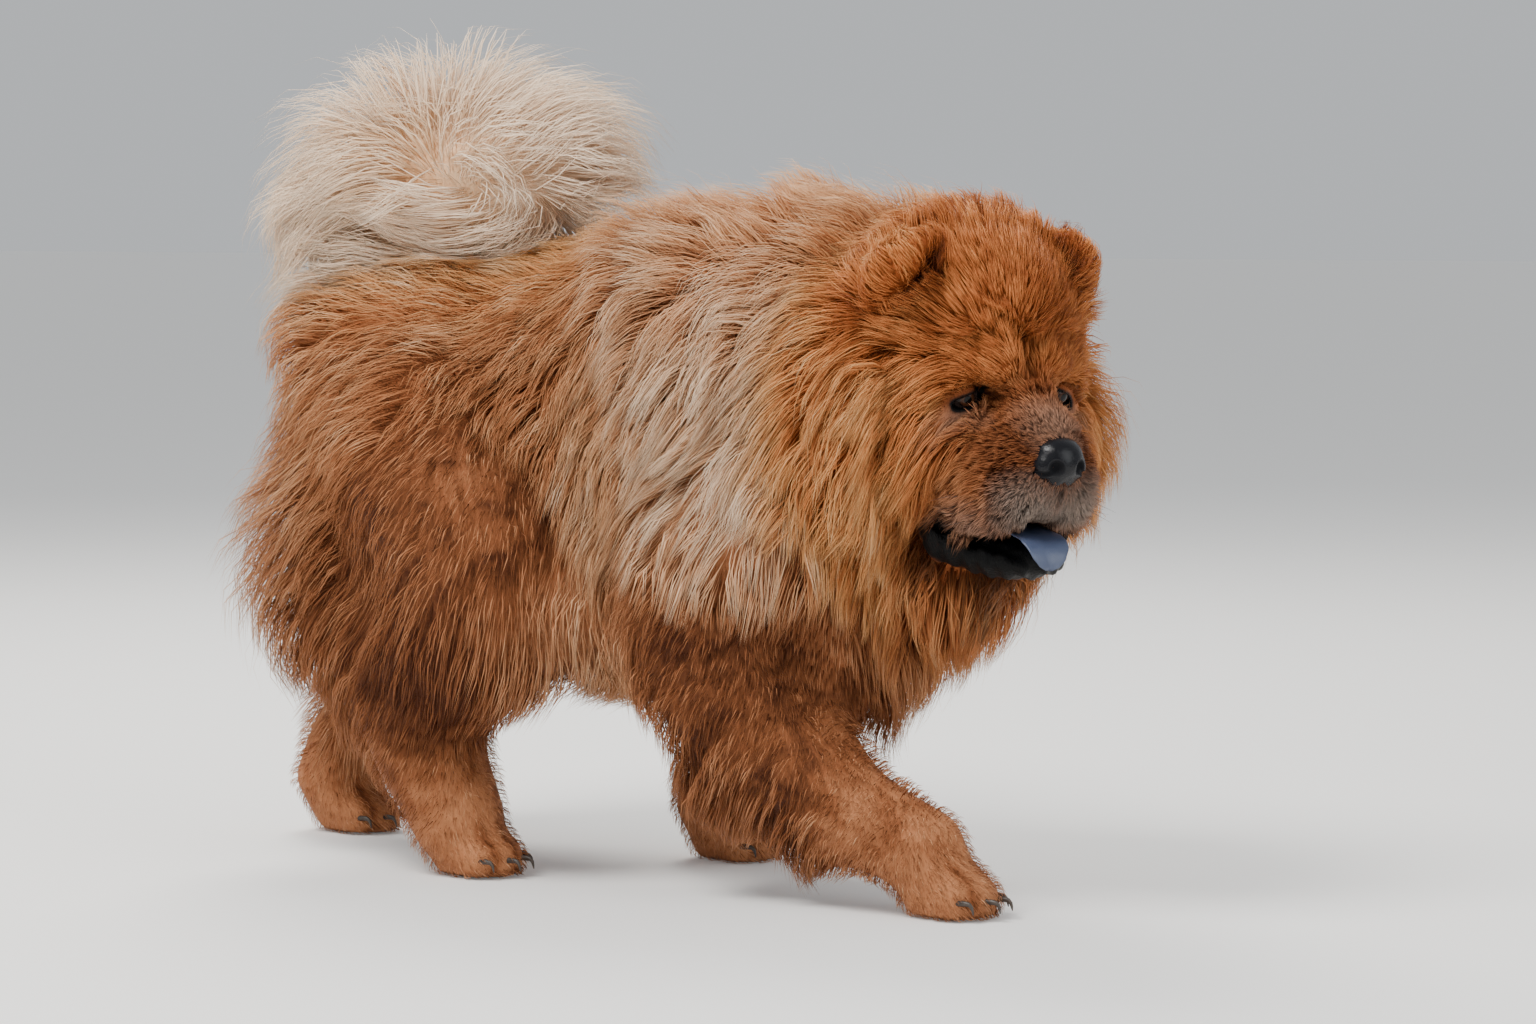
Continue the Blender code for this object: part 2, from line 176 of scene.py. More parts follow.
# The lie of the coat
# A chow's coat differs from part to part in depth, length and colour, and runs back and down
# the body and away from the face. Each part's values are set here and blend into the next.
COAT_STEP = 0.010
HEAD_TURN = math.radians(-28)
HEAD_DIP = math.radians(12)
EYE_SEAT = Vector((-0.0075, 0.0425, 0.002))  # of the left eye, from between the eyes


def middle_of(node):
    low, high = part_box(node)
    return (low + high) / 2


head_axes = (Matrix.Rotation(HEAD_TURN, 3, "Z") @ Matrix.Rotation(HEAD_DIP, 3, "Y"))
between_eyes = (middle_of("eye_right") + middle_of("eye_left")) / 2
head_place = between_eyes - head_axes @ Vector((EYE_SEAT.x, 0, EYE_SEAT.z))
HEAD_AXES = np.array(head_axes)
HEAD_PLACE = np.array(head_place)
TAIL_MIDDLE = np.array(middle_of("tail")) + (0.018, -0.06, 0.002)


def to_head(points):
    """Places in the head's own frame: forward, to its left and up, from between the eyes."""
    return (points - HEAD_PLACE) @ HEAD_AXES


def from_head(points):
    return np.asarray(points) @ HEAD_AXES.T + HEAD_PLACE


def unit(vectors):
    return vectors / np.maximum(np.linalg.norm(vectors, axis=-1, keepdims=True), 1e-9)


MUZZLE_TIP = from_head((0.070, 0, -0.030))
SKULL_MIDDLE = from_head((-0.020, 0, -0.010))


def lie(depth, length, width, lock, gather, hang, shade, tip, warm, way, source=None,
        away=0.0, stand=1.2, tousle=0.75, crease=0.0):
    """The coat of one part. Source is the point that it runs away from."""
    return {
        "depth": depth, "length": length, "width": width, "lock": lock, "gather": gather,
        "hang": hang, "shade": shade, "tip": tip, "warm": warm, "stand": stand,
        "tousle": tousle, "crease": crease, "way": way, "source": source, "away": away,
    }


LEG_WAY = (-0.35, 0.0, -1.0)
COAT = {
    "muzzle": lie(0.009, 0.0085, 0.0008, 0.005, 0.20, 0.0, 0.05, 0.24, 0.3,
                  (-0.5, 0, -0.3), MUZZLE_TIP, 1.2, stand=1.7, tousle=0.6),
    "ear": lie(0.008, 0.016, 0.0010, 0.008, 0.2, 0.0, 0.36, 0.10, 1.0, (-0.2, 0, 0.9),
               tousle=0.5),
    "head": lie(0.034, 0.064, 0.0012, 0.016, 0.42, 0.3, 0.46, 0.12, 0.9,
                (-0.30, 0, -0.75), MUZZLE_TIP, 0.7, tousle=0.55),
    "mane": lie(0.042, 0.086, 0.0012, 0.018, 0.50, 0.4, 0.56, 0.20, 0.15,
                (-0.40, 0, -0.72), SKULL_MIDDLE, 0.75, stand=1.25),
    "chest": lie(0.040, 0.085, 0.0013, 0.019, 0.50, 0.5, 0.50, 0.15, 0.2,
                 (-0.20, 0, -1.0), SKULL_MIDDLE, 0.2),
    "trunk": lie(0.026, 0.060, 0.0012, 0.013, 0.30, 0.2, 0.42, 0.10, 0.3, (-0.42, 0, -0.90)),
    "rump": lie(0.028, 0.060, 0.0012, 0.016, 0.38, 0.2, 0.45, 0.13, 0.3, (-0.75, 0, -0.66)),
    "tail": lie(0.060, 0.130, 0.0012, 0.018, 0.44, 0.2, 1.00, 0.16, 0.2,
                (-0.25, 0, -0.20), TAIL_MIDDLE, 1.3, stand=1.32),
    # The legs are darker than the body, partly with painted shade under it
    "upper": lie(0.014, 0.022, 0.0012, 0.008, 0.20, 0.1, 0.27, 0.07, 0.1, LEG_WAY,
                 stand=1.35, tousle=0.5, crease=1.0),
    "lower": lie(0.011, 0.016, 0.0011, 0.007, 0.16, 0.0, 0.31, 0.07, 0.1, LEG_WAY,
                 stand=1.2, tousle=0.45, crease=1.0),
    "pastern": lie(0.010, 0.013, 0.0010, 0.006, 0.15, 0.0, 0.38, 0.07, 0.1, LEG_WAY,
                   stand=1.1, tousle=0.4, crease=0.7),
    "paw": lie(0.005, 0.011, 0.0009, 0.006, 0.15, 0.0, 0.42, 0.07, 0.1, (0.75, 0, -0.65),
               tousle=0.4, crease=0.3),
}


def kind_of(node):
    """Which of the coats a solid wears."""
    if node in ("muzzle", "lower_jaw"):
        return "muzzle"
    found = [kind for kind in COAT if kind in node.split("_")]
    return found[0]


coat_low = volume_low * VOXEL
coat_counts = np.ceil((volume_high - volume_low) * VOXEL / COAT_STEP).astype(int) + 1
coat_grid = Volume(np.zeros(coat_counts), coat_low, COAT_STEP).grid_points()
coat_node = NODE.nearest(coat_grid)
NUMBERS = ("depth", "length", "width", "lock", "gather", "hang", "shade", "tip",
           "warm", "stand", "tousle", "crease")
coat_values = {name: np.zeros(len(coat_grid)) for name in NUMBERS}
coat_way = np.zeros((len(coat_grid), 3))
for number, node in enumerate(FLESH):
    part = COAT[kind_of(node)]
    inside = coat_node == number
    for name in NUMBERS:
        coat_values[name][inside] = part[name]
    coat_way[inside] = part["way"]
    if part["source"] is not None:
        coat_way[inside] += part["away"] * unit(coat_grid[inside] - part["source"])


def within(points, middle, size, soft=0.5):
    """1 inside an ellipsoid and 0 away from it, with a soft edge as a share of its size."""
    far = np.linalg.norm((points - np.asarray(middle)) / np.asarray(size), axis=-1)
    return np.clip((1 + soft - far) / (2 * soft), 0, 1)


# Where the coat differs within a part: place, size of the spot, and what it is there
shift = HEAD_PLACE - (0.345, -0.100, 0.414)
SPOTS = []
for side in (-1, 1):
    # Breeches, long and pale behind the thighs
    SPOTS.append((shift + (-0.375, side * 0.075, 0.250), (0.085, 0.090, 0.150),
                  {"depth": 0.042, "length": 0.105, "hang": 0.4, "shade": 0.41, "lock": 0.018,
                   "gather": 0.50, "stand": 1.45, "warm": 0.0}, (-0.50, 0, -0.85)))
    # Thigh, whose plush is creased, darker with painted shade under the body
    SPOTS.append((shift + (-0.205, side * 0.150, 0.230), (0.110, 0.090, 0.100),
                  {"shade": 0.27, "crease": 0.9, "length": 0.045}, None))
    # Pale long coat behind the shoulder, down the side
    SPOTS.append((shift + (-0.035, side * 0.165, 0.345), (0.034, 0.060, 0.120),
                  {"shade": 0.73, "length": 0.085, "hang": 0.35}, (-0.10, 0, -1.0)))
    # Loin and flank, short and deep red
    SPOTS.append((shift + (-0.150, side * 0.150, 0.370), (0.080, 0.060, 0.120),
                  {"shade": 0.34}, (-0.35, 0, -0.95)))
    # Lower flank, which ends in a fringe
    SPOTS.append((shift + (-0.060, side * 0.110, 0.215), (0.140, 0.070, 0.050),
                  {"shade": 0.55, "length": 0.078, "hang": 0.5}, (0.10, 0, -1.0)))
    # Lower ruff, golden with pale tips, hanging in locks
    SPOTS.append((shift + (0.215, side * 0.150 - 0.03, 0.345), (0.100, 0.070, 0.085),
                  {"shade": 0.47, "hang": 0.6, "length": 0.080, "lock": 0.019, "gather": 0.58},
                  (-0.05, 0, -1.0)))
    # Shoulder under the rim of the mane, with its painted shadow
    SPOTS.append((shift + (0.140, side * 0.170, 0.205), (0.090, 0.060, 0.034),
                  {"shade": 0.17, "length": 0.020, "hang": 0.0, "stand": 1.1}, None))
    # Rim of the mane over the shoulder, hanging free of the leg
    SPOTS.append((shift + (0.100, side * 0.155, 0.325), (0.095, 0.070, 0.055),
                  {"shade": 0.64, "tip": 0.22, "hang": 0.5, "length": 0.074, "stand": 1.45,
                   "lock": 0.018, "gather": 0.66}, (-0.20, side * 0.25, -1.0)))
    # Side of the mane, paler
    SPOTS.append((shift + (0.100, side * 0.165, 0.430), (0.110, 0.060, 0.100),
                  {"shade": 0.68, "tip": 0.24}, (-0.55, 0, -0.75)))
# Over the withers the coat stands up
SPOTS.append((shift + (0.120, 0.0, 0.560), (0.150, 0.120, 0.060),
              {"shade": 0.52, "tip": 0.18, "warm": 0.4, "hang": 0.0, "stand": 1.3},
              (-0.70, 0, 0.55)))
# Rump round the root of the tail, which stands up against it
SPOTS.append((shift + (-0.230, 0.0, 0.525), (0.150, 0.150, 0.060),
              {"shade": 0.62, "warm": 1.0, "length": 0.060, "depth": 0.018, "stand": 1.8},
              (-0.85, 0, 0.45)))
# Back in front of it, the reddest
SPOTS.append((shift + (-0.125, -0.020, 0.530), (0.070, 0.100, 0.045),
              {"shade": 0.57, "warm": 1.0}, None))
# Front of the chest, darker, with painted shade under the head and ruff
SPOTS.append((shift + (0.235, -0.030, 0.210), (0.060, 0.110, 0.070),
              {"shade": 0.36, "hang": 0.7}, (0.0, 0, -1.0)))
# Feathers behind the legs, darker with painted shade
for x, y, z, reach in ((0.085, -0.108, 0.120, 0.075), (0.155, -0.108, 0.070, 0.040),
                       (-0.050, 0.102, 0.130, 0.060), (-0.300, -0.102, 0.195, 0.070),
                       (-0.372, 0.092, 0.215, 0.070)):
    SPOTS.append((shift + (x, y, z), (reach * 0.8, 0.06, reach),
                  {"shade": 0.30, "length": 0.056, "depth": 0.020, "hang": 0.4, "lock": 0.014},
                  (-0.5, 0, -0.9)))
# Hind legs above the hock, the darkest, with painted shade under the body
for x, y in ((-0.174, -0.165), (-0.400, 0.150)):
    SPOTS.append((shift + (x, y, 0.160), (0.065, 0.060, 0.060), {"shade": 0.13}, None))
# Warm middle of the plume, where its coat parts
TAIL_SPOTS = [(TAIL_MIDDLE, (0.060, 0.10, 0.050), {"shade": 0.88, "warm": 0.5}, None)]
# Next to the rump it is shallower, and its hair is shorter
TAIL_SPOTS.append((shift + (-0.230, 0.0, 0.525), (0.160, 0.150, 0.066),
                   {"depth": 0.016, "length": 0.062, "stand": 1.8}, (-0.85, 0, 0.30)))
# Its hind edge flares out, and its lower rim hangs over the back
TAIL_SPOTS.append((TAIL_MIDDLE + (-0.110, 0.02, -0.020), (0.060, 0.110, 0.070),
                   {"length": 0.155, "stand": 1.35, "hang": 0.4}, (-0.95, -0.10, -0.45)))
for side in (-1, 1):
    TAIL_SPOTS.append((TAIL_MIDDLE + (-0.020, 0.06 + side * 0.090, -0.065),
                       (0.150, 0.060, 0.035), {"length": 0.080, "hang": 0.0, "stand": 1.2},
                       (-0.35, side * 0.9, -0.10)))


def head_spot(place, size, values, way=None):
    for side in (-1, 1):
        spot_way = None
        if way is not None:
            spot_way = tuple(HEAD_AXES @ np.array((way[0], side * way[1], way[2])))
        middle = from_head((place[0], side * place[1], place[2]))
        SPOTS.append((middle, size, values, spot_way))


# Temples, where longer golden hair starts and runs back under the ear
head_spot((-0.040, 0.078, 0.030), (0.036, 0.036, 0.045),
          {"length": 0.055, "width": 0.0011, "lock": 0.012, "gather": 0.38, "hang": 0.1,
           "shade": 0.42, "stand": 1.4}, (-0.80, 0.50, -0.35))
# Cheeks behind the fold of the muzzle, golden
head_spot((-0.036, 0.082, -0.050), (0.036, 0.038, 0.062),
          {"length": 0.064, "width": 0.0011, "lock": 0.012, "gather": 0.32, "hang": 0.2,
           "shade": 0.46, "stand": 1.5}, (-0.35, 0.45, -1.00))
# Outer cheeks, longer
head_spot((-0.060, 0.115, -0.040), (0.042, 0.045, 0.085),
          {"length": 0.082, "lock": 0.013, "gather": 0.32, "hang": 0.35, "shade": 0.51,
           "stand": 1.15, "tousle": 0.9}, (-0.40, 0.30, -0.95))
# Round the ears, as deep as they are high
head_spot((-0.085, 0.085, 0.100), (0.060, 0.060, 0.050),
          {"length": 0.060, "width": 0.0010, "lock": 0.014, "gather": 0.35, "hang": 0.0,
           "shade": 0.46, "stand": 1.3}, (-0.60, 0.45, 0.45))
# Crown in front of and between the ears, standing up
head_spot((-0.062, 0.020, 0.125), (0.050, 0.060, 0.040),
          {"depth": 0.020, "length": 0.046, "width": 0.0009, "lock": 0.010, "gather": 0.35,
           "hang": 0.0, "shade": 0.36, "stand": 1.8, "tousle": 0.5}, (-0.60, 0.35, 0.75))
# Forehead: short dense plush, deep orange, brushed up and back
head_spot((-0.008, 0.022, 0.078), (0.052, 0.044, 0.048),
          {"length": 0.017, "width": 0.0008, "lock": 0.006, "gather": 0.15, "hang": 0.0,
           "shade": 0.25, "tip": 0.06, "warm": 0.9, "tousle": 0.15}, (-0.45, 0.40, 0.70))
# Long hair before the foot of each ear, which hides it
head_spot((-0.040, 0.082, 0.064), (0.030, 0.028, 0.034),
          {"length": 0.044, "width": 0.0009, "lock": 0.010, "gather": 0.34, "hang": 0.0,
           "shade": 0.38, "stand": 2.2, "tousle": 0.7}, (-0.50, 0.60, 0.65))
# Lower muzzle beside the mouth, where the coat stays short
head_spot((0.008, 0.054, -0.085), (0.024, 0.022, 0.030), {"length": 0.007, "shade": 0.14}, None)
# Round the eyes and on the brows, shorter still
head_spot((0.015, 0.032, 0.016), (0.034, 0.034, 0.034),
          {"length": 0.0095, "width": 0.0007, "lock": 0.006, "gather": 0.12, "hang": 0.0,
           "shade": 0.26, "tip": 0.07, "tousle": 0.2}, (-0.50, 0.65, 0.55))
# Parting that runs down from each ear, between the cheek and the mane behind it, darkened with
# painted shade
for place in ((-0.062, 0.080, 0.060), (-0.056, 0.106, 0.038), (-0.062, 0.130, 0.012),
              (-0.068, 0.146, -0.030)):
    head_spot(place, (0.024, 0.018, 0.020),
              {"shade": 0.14, "tip": 0.05, "length": 0.040, "stand": 0.7}, None)
# Beard under the jaw
head_spot((0.000, 0.020, -0.165), (0.070, 0.070, 0.040),
          {"length": 0.080, "hang": 0.9, "lock": 0.020, "gather": 0.72, "shade": 0.40,
           "warm": 0.6},
          (-0.05, 0.0, -1.0))

on_tail = coat_node == FLESH.index("tail")
for spots, worn in ((SPOTS, ~on_tail), (TAIL_SPOTS, on_tail)):
    for middle, size, values, way in spots:
        share = within(coat_grid, middle, size) * worn
        for name, value in values.items():
            coat_values[name] += share * (value - coat_values[name])
        if way is not None:
            coat_way += share[:, None] * (np.array(way) - coat_way)


def coat_volume(values):
    shaped = values.reshape(*coat_counts, *values.shape[1:])
    return Volume(blurred(shaped, 2), coat_low, COAT_STEP)


LIE = {name: coat_volume(values) for name, values in coat_values.items()}
WAY = coat_volume(coat_way)

# Short plush opens in winding creases where the legs bend
CREASE_SIZE = np.array((0.034, 0.034, 0.017))
crease_counts = np.ceil(np.ptp(coat_grid, axis=0) / CREASE_SIZE).astype(int) + 2
CREASES = Volume(np.random.default_rng(8).normal(0, 1, crease_counts), (0, 0, 0), 1.0)


def creased(points):
    """1 down in a crease of the coat, and 0 away from it."""
    rough = CREASES.at((points - coat_low) / CREASE_SIZE)
    return LIE["crease"].at(points) * np.exp(-np.square(rough / 0.20))

# The skin
# One skin covers the whole dog from nose to tail, under the coat by the coat's own depth. The
# face is drawn in its own round forms, with the folds of the brow, lids, lips and ear cups.
SKIN_STEP = 0.0070
HEAD_ROOM = (0.135, 0.150, 0.175)  # half of the room that holds the face, about its middle
HEAD_MIDDLE = (-0.030, 0.0, 0.000)
EYE_SLIT = (0.0030, 0.0405, 0.0004)
EYE_SLANT = math.radians(21)
EYE_OPENING = (0.0150, 0.0160, 0.0050)  # deep, long, high
LIP_LINE = ((-0.016, 0.060, -0.096), (0.000, 0.057, -0.102), (0.014, 0.052, -0.109),
            (0.028, 0.046, -0.111), (0.048, 0.037, -0.108), (0.065, 0.026, -0.096),
            (0.076, 0.013, -0.084), (0.079, 0.0, -0.079))
# Round forms of the head under its coat: middle, radii and how softly each joins the rest.
# Those away from the middle plane have a twin on the other side.
HEAD_FORMS = (
    ((-0.055, 0.000, 0.045), (0.066, 0.070, 0.074), 0.010),  # skull
    ((-0.092, 0.000, 0.055), (0.064, 0.084, 0.070), 0.020),
    ((0.010, 0.000, 0.003), (0.0330, 0.0225, 0.0240), 0.010),  # between the eyes
    ((0.001, 0.0225, 0.0280), (0.0225, 0.0190, 0.0190), 0.008),  # brow
    ((-0.024, 0.047, 0.020), (0.030, 0.024, 0.022), 0.012),  # outer brow
    ((-0.032, 0.047, -0.040), (0.044, 0.035, 0.056), 0.014),  # cheek
    ((-0.022, 0.000, -0.066), (0.036, 0.048, 0.046), 0.014),
    ((0.028, 0.000, -0.041), (0.0520, 0.0380, 0.0450), 0.010),  # bridge
    ((0.042, 0.0120, -0.053), (0.0300, 0.0180, 0.0280), 0.008),  # upper lip
    ((0.014, 0.028, -0.070), (0.0410, 0.0205, 0.0335), 0.008),  # hanging lip
    ((0.058, 0.000, -0.052), (0.0215, 0.0185, 0.0290), 0.008),  # under the nose
    ((0.010, 0.000, -0.121), (0.0540, 0.0490, 0.0175), 0.006),  # jaw
    ((0.042, 0.000, -0.117), (0.0200, 0.0260, 0.0115), 0.006),
    ((-0.002, 0.047, -0.111), (0.0250, 0.0160, 0.0210), 0.006),  # corner of the lips
    ((-0.025, 0.000, -0.114), (0.0430, 0.0500, 0.0190), 0.010),
)
# Folds of the face: a line, how wide, how deep, and the directions that it is seen along
FRONT = (0.25, 1, 1)
ASIDE = (1, 0.35, 1)
FOLDS = (
    (((0.03, 0.0, 0.014), (0.02, 0.0, 0.034), (0.0, 0.0, 0.060)), 0.0045, 0.0085, FRONT),
    (((0.01, 0.002, 0.050), (0.0, 0.016, 0.066), (-0.01, 0.034, 0.072)), 0.0060, 0.0040, FRONT),
    (((0.03, 0.003, 0.016), (0.02, 0.014, 0.010), (0.01, 0.026, 0.005)), 0.0030, 0.0032, FRONT),
    (((0.01, 0.026, 0.007), (0.0, 0.042, 0.015), (0.0, 0.058, 0.012)), 0.0034, 0.0040, FRONT),
    (((0.0, 0.030, 0.058), (-0.01, 0.050, 0.050), (-0.02, 0.068, 0.030)), 0.0050, 0.0040, FRONT),
    (((0.040, 0.034, -0.010), (0.058, 0.027, -0.014), (0.070, 0.015, -0.010)), 0.003, 0.0022,
     ASIDE),
    (((0.010, 0.048, -0.006), (0.004, 0.060, -0.030), (0.002, 0.066, -0.060),
      (0.006, 0.062, -0.085)), 0.0060, 0.0060, ASIDE),
    (((0.026, 0.040, -0.012), (0.034, 0.042, -0.030), (0.030, 0.050, -0.050)), 0.0030, 0.0016,
     ASIDE),
    (((0.046, 0.036, -0.020), (0.052, 0.037, -0.036), (0.050, 0.042, -0.052)), 0.0026, 0.0014,
     ASIDE),
    (((0.016, 0.050, -0.060), (0.020, 0.052, -0.075), (0.028, 0.050, -0.088)), 0.0030, 0.0016,
     ASIDE),
)


def round_form(at, middle, radii, axes=None):
    """How far points lie outside (+) or inside (-) of an ellipsoid."""
    offset = at - np.asarray(middle)
    if axes is not None:
        offset = offset @ axes
    near = np.linalg.norm(offset / radii, axis=1)
    steep = np.linalg.norm(offset / np.square(radii), axis=1) + 1e-9
    return near * (near - 1) / steep


def joined(first, second, soft):
    """Two forms as one, with a soft valley between them."""
    over = np.maximum(soft - np.abs(first - second), 0) / soft
    return np.minimum(first, second) - over * over * soft / 4


def carved(form, hole, soft):
    """A form with a hole in it, whose rim is rounded."""
    over = np.maximum(soft - np.abs(form + hole), 0) / soft
    return np.maximum(form, -hole) + over * over * soft / 4


def line_distance(at, line, weights=(1, 1, 1)):
    """The distance to a line through the points, where some directions count for less."""
    nearest = np.full(len(at), 1e3)
    scale = np.array(weights)
    for start, end in zip(line[:-1], line[1:]):
        start, end = np.array(start) * scale, np.array(end) * scale
        run = end - start
        offset = at * scale - start
        along = np.clip(offset @ run / (run @ run), 0, 1)
        nearest = np.minimum(nearest, np.linalg.norm(offset - along[:, None] * run, axis=1))
    return nearest


def one_side(at):
    """The same places on the dog's left, as the face is alike on both sides."""
    return np.column_stack((at[:, 0], np.abs(at[:, 1]), at[:, 2]))


def ear_axes(side):
    """How an ear stands on the head: its axes point forward, to the left and up it."""
    turn = Matrix.Rotation(math.radians(side * -38), 3, "Z")
    turn = turn @ Matrix.Rotation(math.radians(28), 3, "Y")
    return np.array(turn @ Matrix.Rotation(math.radians(side * 6), 3, "X"))


EAR_SEAT = np.array((-0.062, 0.076, 0.089))
EAR_SIZE = (0.0165, 0.0250, 0.0360)
CUP_SEAT = (0.0160, 0.000, 0.004)
CUP_SIZE = (0.0120, 0.0095, 0.0250)
LUMP = 0.0011  # of the black lips, which are uneven
EAR_LEFT = ear_axes(1)
SLIT_AXES = np.array(Matrix.Rotation(-EYE_SLANT, 3, "X"))


def eye_opening(left):
    """The slit between the lids, which slants down and outward."""
    return round_form(left, EYE_SLIT, EYE_OPENING, SLIT_AXES)


def face_distance(at, body):
    """How far points in the head's frame lie outside the skin, given the body's own skin."""
    left = one_side(at)
    found = body
    for middle, radii, soft in HEAD_FORMS:
        found = joined(found, round_form(left, middle, radii), soft)
    found = joined(found, round_form(left, EAR_SEAT, EAR_SIZE, EAR_LEFT), 0.010)
    # Lids: a thin bulge over each eye, open in a slit
    found = joined(found, round_form(left, EYE_SEAT, (0.0136,) * 3), 0.004)
    found = carved(found, eye_opening(left), 0.0015)
    # Ear cups
    cup = EAR_SEAT + EAR_LEFT @ CUP_SEAT
    found = carved(found, round_form(left, cup, CUP_SIZE, EAR_LEFT), 0.004)
    # Mouth: a hollow over the tongue, and the gap under the hanging lips
    hollow = round_form(left, (0.034, 0, -0.0965), (0.050, 0.034, 0.0105))
    found = carved(found, joined(hollow, line_distance(left, LIP_LINE) - 0.0042, 0.004), 0.003)
    for line, width, deep, seen in FOLDS:
        found = found + deep * np.exp(-np.square(line_distance(left, line, seen) / width))
    lumps = np.sin(at @ (310, 260, 90)) + np.sin(at @ (-190, 330, 240) + 1)
    return found + LUMP * lumps * (left[:, 2] < -0.098)


# Root of the tail, which stands up from the rump under its long hair
TAIL_ROOT = (shift + (-0.330, 0.0, 0.470), shift + (-0.300, 0.0, 0.580))
TAIL_THICK = 0.026


def skin_distance(points):
    """How far points lie outside (+) or inside (-) of the dog's skin."""
    depth = LIE["depth"].at(points)
    # The soles press flat on the floor, so the skin reaches down to it there
    depth = depth * np.clip((points[:, 2] - 0.001) / 0.012, 0.05, 1)
    found = OUTLINE.at(points).astype(float) + depth
    found = joined(found, line_distance(points, TAIL_ROOT) - TAIL_THICK, 0.020)
    at = to_head(points)
    near = (np.abs(at - HEAD_MIDDLE) < HEAD_ROOM).all(axis=1)
    found[near] = face_distance(at[near], found[near])
    return found


def skin_slope(points, reach):
    """The distance to the skin, and the way out of it."""
    here = skin_distance(points)
    ahead = [skin_distance(points + reach * axis) - here for axis in np.eye(3)]
    return here, np.stack(ahead, axis=1) / reach


def pulled_to_skin(points, rounds, reach):
    for _ in range(rounds):
        here, slope = skin_slope(points, reach)
        steep = np.maximum((slope * slope).sum(axis=1), 0.25)
        points = points - slope * (here / steep)[:, None]
    return points


skin_low = np.floor(volume_low * VOXEL / SKIN_STEP).astype(int)
skin_counts = np.ceil((volume_high - volume_low) * VOXEL / SKIN_STEP).astype(int) + 2
skin_grid = Volume(np.zeros(skin_counts), skin_low * SKIN_STEP, SKIN_STEP)
skin_values = skin_distance(skin_grid.grid_points()).reshape(skin_counts)
skin_points, skin_quads = surface_of(skin_values, skin_low, SKIN_STEP, 0.0)


def largest_piece(points, quads):
    """The outer surface alone, without bubbles inside it."""
    label = np.arange(len(points))
    while True:
        lowest = label[quads].min(axis=1)
        spread = label.copy()
        for corner in range(4):
            np.minimum.at(spread, quads[:, corner], lowest)
        spread = spread[spread]
        if (spread == label).all():
            break
        label = spread
    main = np.bincount(label).argmax()
    kept = label == main
    number = np.cumsum(kept) - 1
    return points[kept], number[quads[kept[quads[:, 0]]]]


skin_points, skin_quads = largest_piece(skin_points, skin_quads)
skin_points = pulled_to_skin(skin_points.astype(float), 2, 0.002)

skin_mesh = bpy.data.meshes.new("skin")
skin_mesh.from_pydata(skin_points.tolist(), [], skin_quads.tolist())
skin_mesh.update()
skin = bpy.data.objects.new("skin", skin_mesh)
bpy.context.scene.collection.objects.link(skin)

# Its unwrap, on which the coat's patches lie too
bpy.context.view_layer.objects.active = skin
skin.select_set(True)
bpy.ops.object.mode_set(mode="EDIT")
bpy.ops.mesh.select_all(action="SELECT")
bpy.ops.mesh.normals_make_consistent(inside=False)
bpy.ops.uv.smart_project(angle_limit=math.radians(70), island_margin=0.002)
bpy.ops.object.mode_set(mode="OBJECT")
skin_mesh.uv_layers.active.name = "OFBake"


def corner_points(mesh):
    points = np.empty(len(mesh.vertices) * 3, np.float32)
    mesh.vertices.foreach_get("co", points)
    return points.reshape(-1, 3).astype(float)


def refine(mesh, wanted, reach):
    """Halves the faces whose points are all wanted, and lays the new points on the skin."""
    shape = bmesh.new()
    shape.from_mesh(mesh)
    shape.verts.ensure_lookup_table()
    chosen = wanted(corner_points(mesh))
    edges = [edge for edge in shape.edges if all(chosen[v.index] for v in edge.verts)]
    bmesh.ops.subdivide_edges(shape, edges=edges, cuts=1, use_grid_fill=True)
    shape.to_mesh(mesh)
    shape.free()
    points = pulled_to_skin(corner_points(mesh), 2, reach)
    mesh.vertices.foreach_set("co", points.astype(np.float32).ravel())
    mesh.update()


def on_face(points):
    """The front of the head and the ears."""
    left = one_side(to_head(points))
    front = (left[:, 0] > -0.058) & (left[:, 1] < 0.100) & (np.abs(left[:, 2]) < 0.145)
    return front | (round_form(left, EAR_SEAT, (0.034, 0.038, 0.050), EAR_LEFT) < 0)


def on_lids(points):
    left = one_side(to_head(points))
    lids = round_form(left, EYE_SLIT, (0.016, 0.020, 0.011), SLIT_AXES) < 0
    return lids | ((line_distance(left, LIP_LINE) < 0.009) & (left[:, 0] > -0.018))


refine(skin_mesh, on_face, 0.001)
refine(skin_mesh, on_face, 0.0007)
refine(skin_mesh, on_lids, 0.0004)
skin_mesh.shade_smooth()
skin_mesh.calc_loop_triangles()
print("skin triangles", len(skin_mesh.loop_triangles), flush=True)



class Socket:
    """An output of a material's node, which adds, multiplies and so on like a number."""

    def __init__(self, tree, output):
        self.tree = tree
        self.output = output

    def worked(self, operation, first, second):
        sums = {0: first, 1: second}
        return node(self.tree, "ShaderNodeMath", {"operation": operation}, sums)

    def __add__(self, other):
        return self.worked("ADD", self, other)

    def __radd__(self, other):
        return self.worked("ADD", other, self)

    def __sub__(self, other):
        return self.worked("SUBTRACT", self, other)

    def __rsub__(self, other):
        return self.worked("SUBTRACT", other, self)

    def __mul__(self, other):
        return self.worked("MULTIPLY", self, other)

    def __rmul__(self, other):
        return self.worked("MULTIPLY", other, self)

    def __pow__(self, other):
        return self.worked("POWER", self, other)

    def wave(self):
        return self.worked("SINE", self, 0.0)


